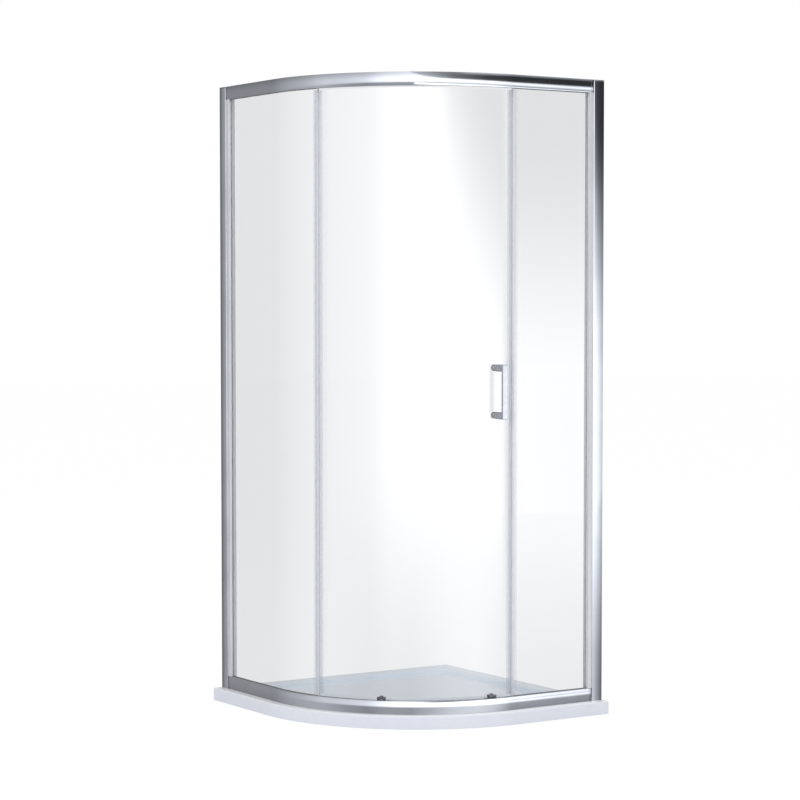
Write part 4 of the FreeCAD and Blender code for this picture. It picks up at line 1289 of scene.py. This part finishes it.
@dataclass
class DoorPane(Panes):
    """The curved door glass with its holes."""

    inner_radius: float = 0.484
    foot: float = 0.047
    head: float = 1.942
    first: float = math.radians(199.15)
    last: float = math.radians(272.7)
    bend_steps: int = 96
    roller_hole: float = 0.0052
    handle_hole: float = 0.0042
    handle_levels: tuple = (0.931, 1.074)
    drill_reach: tuple = (0.47, 0.505)
    drill_sides: int = 32

    def drill(self, pane: Piece, angle: float, level: float, radius: float) -> None:
        """Cuts one round hole.

        Args:
            pane: The pane.
            angle: The hole's angle on the arc in radians.
            level: Its height.
            radius: Its radius.
        """
        drop_selection()
        near, far = self.drill_reach
        bpy.ops.mesh.primitive_cylinder_add(
            vertices=self.drill_sides,
            radius=radius,
            depth=far - near,
            location=((near + far) / 2, 0, level),
            rotation=(0, QUARTER_TURN, 0),
        )
        tool = settle("drill")
        swing(tool, angle)
        cut(pane, tool)

    def make(self) -> None:
        """Builds the door pane."""
        pane = self.edge_on("door_pane", self.first)
        bend(self.last - self.first, self.bend_steps)
        face_out()
        self.finish(pane)
        for angle in ROLLER_ANGLES.values():
            for level in ROLLER_PINS.values():
                self.drill(pane, angle, level, self.roller_hole)
        for level in self.handle_levels:
            self.drill(pane, HANDLE_ANGLE, level, self.handle_hole)
        smooth(pane, 30)
        fit(pane, "door", "door_glass")


@dataclass
class Seals(Assembly):
    """The four clear strips clipped on the edges of the panes, each with a blade.

    Plans are given as distance from the arc's axis and distance across, in millimetres.
    """

    foot: float = 0.084
    head: float = 1.906
    blade_foot: float = 0.0993
    blade_root: float = 0.506
    easing: float = 0.0003

    def plans(self) -> tuple:
        """Returns each seal's name, body, angle, CAD node and plan."""
        return (
            ("seal_pane_left", "enclosure", 201.05, "fixed_seal_left", (
                (491.8, -16.01), (507.25, -16.01), (507.25, 0), (513.5, 0), (513.5, -16.01),
                (514.7, -16.01), (514.7, 1.2), (506.05, 1.2), (506.05, -14.81), (491.8, -14.81),
            )),
            ("seal_door_left", "door", 199.15, "door_seal_left", (
                (482.63, -1.2), (505.7, -1.2), (505.7, 0), (491.2, 0), (491.2, 13), (490, 13),
                (490, 0), (483.83, 0), (483.83, 13), (482.63, 13),
            )),
            ("seal_pane_right", "enclosure", 270.0, "fixed_seal_right", (
                (514.7, 9.6), (491.8, 9.6), (491.8, 10.8), (506.13, 10.8), (506.13, 23.8),
                (507.33, 23.8), (507.33, 10.8), (513.5, 10.8), (513.5, 23.8), (514.7, 23.8),
            )),
            ("seal_door_right", "door", 272.7, "door_seal_right", (
                (482.54, 1.2), (491.2, 1.2), (491.2, -14.52), (505.7, -14.52), (505.7, -15.72),
                (490, -15.72), (490, 0), (483.74, 0), (483.74, -15.72), (482.54, -15.72),
            )),
        )

    def lengthen_clip(self, seal: Piece) -> None:
        """Draws the clip below its blade, which stops above the path of the bottom rollers."""
        edit(seal)
        pick_all()
        bpy.ops.mesh.bisect(plane_co=(self.blade_root, 0, 0), plane_no=ALONG_X)
        pick(
            seal,
            Element.FACE,
            lambda face: face.normal.z < -SQUARE_ON
            and face.calc_center_median().x > self.blade_root,
        )
        push((0, 0, self.foot - self.blade_foot))
        drop_selection()

    def make(self) -> None:
        """Builds the four seals."""
        for name, body, degrees, node, plan in self.plans():
            places = [(reach / 1000, across / 1000) for reach, across in plan]
            if name == "seal_pane_left":
                seal = draw_up(name, places, self.blade_foot, self.head)
                self.lengthen_clip(seal)
            else:
                seal = draw_up(name, places, self.foot, self.head)
            ease(seal, self.easing)
            smooth(seal, 40)
            swing(seal, math.radians(degrees))
            dress(seal, self.finishes.seal)
            fit(seal, body, node)


@dataclass
class Handle(Assembly):
    """The bracket handle outside the door, a flat bar on two legs, and its knobs inside."""

    seat: float = 0.491
    back: float = 0.523
    front: float = 0.533
    half_width: float = 0.0085
    foot: float = 0.9205
    head: float = 1.0845
    leg: float = 0.021
    easing: float = 0.0016
    knob_seat: float = 0.4829
    knob_length: float = 0.022
    knob_radius: float = 0.01
    knob_dome: float = 0.0045
    knob_neck: tuple = ((0.005, 0.0), (0.0035, 0.0016), (0.0, 0.002))
    knob_sides: int = 40

    def make(self) -> None:
        """Builds the handle and its knobs."""
        drop_selection()
        low = Vector((self.back, -self.half_width, self.foot))
        high = Vector((self.front, self.half_width, self.head))
        bpy.ops.mesh.primitive_cube_add(size=1, location=(low + high) / 2)
        bpy.context.object.scale = high - low
        handle = settle("handle")
        edit(handle)
        leg_ends = (self.foot + self.leg, self.head - self.leg)
        for level in leg_ends:
            pick_all()
            bpy.ops.mesh.bisect(plane_co=UP * level, plane_no=UP)
        pick(
            handle,
            Element.FACE,
            lambda face: face.normal.x < -SQUARE_ON
            and not leg_ends[0] < face.calc_center_median().z < leg_ends[1],
        )
        push((self.seat - self.back, 0, 0))
        face_out()
        ease(handle, self.easing, 4, 40)
        smooth(handle, 40)
        swing(handle, HANDLE_ANGLE)
        dress(handle, self.finishes.handle)
        fit(handle, "door", "door_handle")
        self.make_knobs()

    def make_knobs(self) -> None:
        """Builds the two round knobs that the bolts are screwed into, as one piece."""
        seat, radius = self.knob_seat, self.knob_radius
        end = seat - self.knob_length
        dome = [
            (end + self.knob_dome * (1 - math.cos(turn)), radius * math.sin(turn))
            for turn in quarter_round()
        ]
        neck = [(seat - back, radius - step) for back, step in self.knob_neck]
        low = turn_round("knobs", [*dome, *neck, (seat, 0.0)], self.knob_sides)
        high = twin(low, "upper knob")
        for knob, level in ((low, self.foot + self.leg / 2), (high, self.head - self.leg / 2)):
            swing(knob, HANDLE_ANGLE, level)
        knobs = join("knobs", (low, high))
        smooth(knobs, 40)
        dress(knobs, self.finishes.handle)
        fit(knobs, "door", "handle_knobs")


@dataclass
class Rollers(Assembly):
    """The four grooved wheels, their ball bearings and the round nuts inside the door."""

    middle: float = 0.4994
    half_width: float = 0.0035
    rim: float = 0.011
    rim_chamfer: float = 0.0004
    rim_land: float = 0.0013
    groove: float = 0.009
    groove_flat: float = 0.0013
    web_edges: tuple = (0.001, 0.0015)
    web_depth: float = 0.001
    bore: float = 0.005
    axle: float = 0.00255
    ring_gap: tuple = (0.0033, 0.0043)
    setback: float = 0.0002
    shield: float = 0.0004
    nut_face: float = 0.4839
    nut_length: float = 0.005
    nut_radius: float = 0.01
    nut_chamfer: tuple = ((0.0015, 0.0), (0.0004, 0.0009), (0.0, 0.0018))
    nut_bore: float = 0.004
    nut_lead: float = 0.0006
    wheel_sides: int = 64
    bearing_sides: int = 40
    nut_sides: int = 48
    axle_levels: tuple = (("top", 1.9332), ("bottom", 0.0568))

    def both_sides(self, half: Sequence[Place]) -> list:
        """Returns a half section, given from the wheel's middle, with its reflection there."""
        far = [(self.middle + along, reach) for along, reach in half]
        near = [(self.middle - along, reach) for along, reach in reversed(half)]
        return far + near

    def wheel(self) -> Piece:
        """Makes a wheel with a groove for the rail's bead and a dished web on each face."""
        face, web = self.half_width, self.half_width - self.web_depth
        edge, foot = self.web_edges
        half = [
            (face, self.bore), (face, self.bore + edge), (web, self.bore + foot),
            (web, self.groove - foot), (face, self.groove - edge),
            (face, self.rim - self.rim_chamfer), (face - self.rim_chamfer, self.rim),
            (face - self.rim_land, self.rim), (self.groove_flat, self.groove),
        ]
        return turn_round("wheel", self.both_sides(half), self.wheel_sides)

    def bearing(self) -> Piece:
        """Makes a ball bearing: two rings with a shield set back between them."""
        face = self.half_width - self.setback
        inner, outer = self.ring_gap
        half = [
            (face, self.axle), (face, inner), (face - self.shield, inner),
            (face - self.shield, outer), (face, outer), (face, self.bore),
        ]
        return turn_round("bearing", self.both_sides(half), self.bearing_sides)

    def nut(self) -> Piece:
        """Makes a round nut with a chamfered rim."""
        end = self.nut_face - self.nut_length
        profile = [
            (self.nut_face, self.nut_bore),
            (self.nut_face, self.nut_radius),
            *((end + rise, self.nut_radius - step) for rise, step in self.nut_chamfer),
            (end, self.nut_bore + self.nut_lead),
            (end + self.nut_lead, self.nut_bore),
        ]
        return turn_round("nut", profile, self.nut_sides)

    def make(self) -> None:
        """Builds each kind once and sets a copy of it at every roller."""
        kinds = (
            (self.wheel(), "wheel", self.finishes.nylon, "wheel_nylon"),
            (self.bearing(), "bearing", self.finishes.steel, "steel"),
            (self.nut(), "roller_cap", self.finishes.chromed_plastic, "bright_chrome"),
        )
        for pattern, kind, material, slot in kinds:
            smooth(pattern, 30)
            dress(pattern, material)
            on_door = kind == "roller_cap"
            for level, axle_level in self.axle_levels:
                for side, angle in ROLLER_ANGLES.items():
                    copy = twin(pattern, f"{pattern.name}_{level}_{side}")
                    swing(copy, angle, ROLLER_PINS[level] if on_door else axle_level)
                    body = "door" if on_door else f"{level}_wheel_{side}"
                    fit(copy, body, f"{level}_{kind}_{side}")
            throw_away(pattern)


# ---------------------------------------------------------------------------------------------
# The studio
# ---------------------------------------------------------------------------------------------


def aim(name: str, data: bpy.types.ID, place: Place, ahead: Vector) -> Piece:
    """Sets up a camera or a light.

    Args:
        name: Its name.
        data: The camera or light itself.
        place: Where it stands.
        ahead: The direction that it looks in.

    Returns:
        Its object.
    """
    thing = bpy.data.objects.new(name, data)
    bpy.context.scene.collection.objects.link(thing)
    thing.location = place
    thing.rotation_mode = "QUATERNION"
    thing.rotation_quaternion = ahead.to_track_quat("-Z", "Y")
    return thing


@dataclass(frozen=True)
class SoftBox:
    """A square soft light, which nothing mirrors. Its power is in watts."""

    name: str
    place: tuple
    target: tuple
    size: float
    power: float

    def hang(self) -> None:
        """Hangs the light."""
        data = bpy.data.lights.new(self.name, "AREA")
        data.shape = "SQUARE"
        data.size = self.size
        data.energy = self.power
        lamp = aim(self.name, data, self.place, Vector(self.target) - Vector(self.place))
        lamp.visible_camera = lamp.visible_glossy = False


@dataclass
class Studio:
    """The camera, the pale floor and the soft light.

    The metal and the glass mirror walls and a ceiling that are drawn by bearing, in degrees from
    +X, and by height. Each ramp below is made of pairs of bearing and value.
    """

    eye: tuple = (-4.0574337, -6.218893, 1.2581855)
    yaw: float = 0.5787687
    pitch: float = 0.0535548
    lens: float = 106.88
    sensor: float = 36.0
    sight: float = 200.0
    shift: tuple = (-0.0117, 0.0424)
    floor_reach: float = 60.0
    floor_paint: tuple = (0.93, 0.93, 0.93, 1)
    floor_glow: float = 1.06
    floor_share: float = 0.75
    soft_boxes: tuple = (
        SoftBox("key light", (-3.0, -3.2, 4.2), (0, 0, 0.6), 2.4, 38),
        SoftBox("top light", (0.0, 0.0, 4.4), (0, 0, 0), 2.0, 29),
    )
    card_bearing: float = math.radians(280)
    card_reach: float = 5.0
    card_width: float = 10.0
    card_levels: tuple = (0.2, 0.95)
    card_span: tuple = (1.8, 5.4)
    card_light: tuple = (1.8, 0.85)
    room_light: float = 0.85
    wall_light: float = 2.0
    wall_fade: tuple = (2.0, 26.0)
    high_share: float = 0.62
    low_fade: tuple = (-9.5, -3.0)
    overhead_fade: tuple = (15.0, 28.0)
    ceiling_blur: float = 3.5
    # the light of the walls, as a share of wall_light
    walls: tuple = (
        (0, 0.30), (40, 0.45), (75, 0.20), (106, 0.09), (121, 0.18), (150, 0.30), (170, 0.42),
        (187, 0.48), (202, 0.55), (216, 0.80), (230, 0.90), (294, 0.90), (306, 0.77), (322, 0.45),
        (350, 0.35),
    )
    # how much of that is left below the horizon
    low_share: tuple = (
        (0, 0.6), (110, 1.0), (150, 0.85), (187, 0.45), (202, 0.32), (232, 0.24), (246, 0.35),
        (262, 0.48), (280, 0.52), (291, 0.46), (306, 0.30), (325, 0.21), (345, 0.35),
    )
    # where the ceiling starts, as a share of a right angle above the horizon
    ceiling: tuple = (
        (0, 1.0), (222, 1.0), (232, 0.30), (242, 0.14), (252, 0.074), (262, 0.050), (276, 0.032),
        (291, 0.020), (306, 0.009), (335, 0.009), (350, 1.0),
    )
    # how much light is left under the ceiling, and how much comes back straight overhead
    dark_share: tuple = (
        (0, 0.5), (240, 0.5), (262, 0.14), (285, 0.05), (310, 0.03), (345, 0.06),
    )
    overhead: tuple = (
        (0, 0.0), (250, 0.0), (266, 0.12), (276, 0.3), (300, 0.5), (335, 0.5), (350, 0.0),
    )

    def camera(self) -> None:
        """Makes the camera at the photograph's view angle."""
        data = bpy.data.cameras.new("camera")
        data.lens = self.lens
        data.sensor_width = self.sensor
        data.shift_x, data.shift_y = self.shift
        data.clip_end = self.sight
        level = math.cos(self.pitch)
        ahead = Vector(
            (math.sin(self.yaw) * level, math.cos(self.yaw) * level, -math.sin(self.pitch))
        )
        bpy.context.scene.camera = aim("camera", data, self.eye, ahead)

    def floor(self) -> None:
        """Lays the plain pale floor."""
        drop_selection()
        bpy.ops.mesh.primitive_plane_add(size=self.floor_reach, location=(0, 0, 0))
        floor = settle("floor")
        recipe = Recipe(bpy.data.materials.new("pale floor"))
        paint = recipe.add("BsdfDiffuse", Color=self.floor_paint)
        glow = recipe.add("Emission", Strength=self.floor_glow)
        seen = recipe.add("LightPath").outputs["Is Camera Ray"]
        share = recipe.maths("MULTIPLY", seen, self.floor_share)
        dress(floor, recipe.end(recipe.blend(share, paint, glow)))
        floor.visible_glossy = False

    def card(self) -> None:
        """Stands a low white card in front on the right, which only reflections see."""
        drop_selection()
        low, high = self.card_levels
        ahead = Vector((math.cos(self.card_bearing), math.sin(self.card_bearing), 0))
        bpy.ops.mesh.primitive_plane_add(
            size=1,
            location=CENTRE + ahead * self.card_reach + UP * ((low + high) / 2),
            rotation=(QUARTER_TURN, 0, self.card_bearing + QUARTER_TURN),
        )
        bpy.context.object.scale = (self.card_width, high - low, 1)
        card = settle("card")
        recipe = Recipe(bpy.data.materials.new("white card"))
        across = recipe.axes(recipe.place())[X]
        light = recipe.remap(across, self.card_span, *self.card_light)
        dress(card, recipe.end(recipe.add("Emission", Strength=light)))
        card.visible_camera = card.visible_diffuse = card.visible_shadow = False
        card.visible_transmission = False

    def surroundings(self) -> None:
        """Makes the studio that the metal and the glass mirror, and the light of the room."""
        world = bpy.data.worlds.new("studio")
        bpy.context.scene.world = world
        recipe = Recipe(world)
        world.cycles.sampling_method = "NONE"
        x, y, z = recipe.axes(recipe.add("TexCoord").outputs["Generated"])
        azimuth = recipe.maths("ARCTAN2", y, x)
        bearing = recipe.maths("FRACT", recipe.maths("DIVIDE", azimuth, FULL_TURN))
        rise = recipe.maths("MULTIPLY", recipe.maths("ARCSINE", z), 180 / math.pi)
        walls, low_share, ceiling, dark_share, overhead = (
            recipe.ramp(bearing, [(degrees / 360, (value,) * 3) for degrees, value in stops])
            for stops in (
                self.walls, self.low_share, self.ceiling, self.dark_share, self.overhead
            )
        )
        over = recipe.maths("SUBTRACT", rise, recipe.maths("MULTIPLY", ceiling, 90.0))
        blur = (-self.ceiling_blur, self.ceiling_blur)
        under_ceiling = recipe.remap(over, blur, 1.0, dark_share, "SMOOTHSTEP")
        near_floor = recipe.remap(rise, self.low_fade, low_share, 1.0, "SMOOTHSTEP")
        high_up = recipe.remap(rise, self.wall_fade, 1.0, self.high_share, "SMOOTHSTEP")
        strips = recipe.maths("MULTIPLY", under_ceiling, near_floor)
        strips = recipe.maths("MULTIPLY", strips, high_up)
        glow = recipe.remap(rise, self.overhead_fade, 0.0, overhead, "SMOOTHSTEP")
        wall_light = recipe.maths("MULTIPLY", walls, self.wall_light)
        mirrored = recipe.maths("MULTIPLY", wall_light, recipe.maths("ADD", strips, glow))
        rays = recipe.add("LightPath").outputs
        by_glossy = recipe.maths("MULTIPLY", mirrored, rays["Is Glossy Ray"])
        others = recipe.maths("SUBTRACT", 1.0, rays["Is Glossy Ray"])
        by_others = recipe.maths("MULTIPLY", others, self.room_light)
        lit = recipe.maths("ADD", by_glossy, by_others)
        strength = recipe.maths("MAXIMUM", lit, rays["Is Camera Ray"])
        white = recipe.add("Background", Color=(1, 1, 1, 1), Strength=strength)
        recipe.end(white, "OutputWorld")

    def make(self) -> None:
        """Sets up the whole studio."""
        bpy.context.scene.view_settings.view_transform = "Standard"
        bpy.context.scene.cycles.transparent_max_bounces = 32
        self.camera()
        self.floor()
        self.surroundings()
        self.card()
        for soft_box in self.soft_boxes:
            soft_box.hang()
        log.info("the studio is set")


def main() -> None:
    """Builds the enclosure round its frame and dresses it."""
    logging.basicConfig(level=logging.INFO, format="%(message)s")
    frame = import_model()
    Studio().make()
    finishes = Finishes()
    rails = Rails(finishes)
    assemblies = (
        CarriedNodes(finishes, frame["nodes"]),
        Tray(finishes),
        rails,
        CornerBlocks(finishes, rails),
        Uprights(finishes),
        FixedPanes(finishes),
        DoorPane(finishes),
        Seals(finishes),
        Handle(finishes),
        Rollers(finishes),
    )
    for assembly in assemblies:
        assembly.make()


if __name__ == "__main__":
    main()
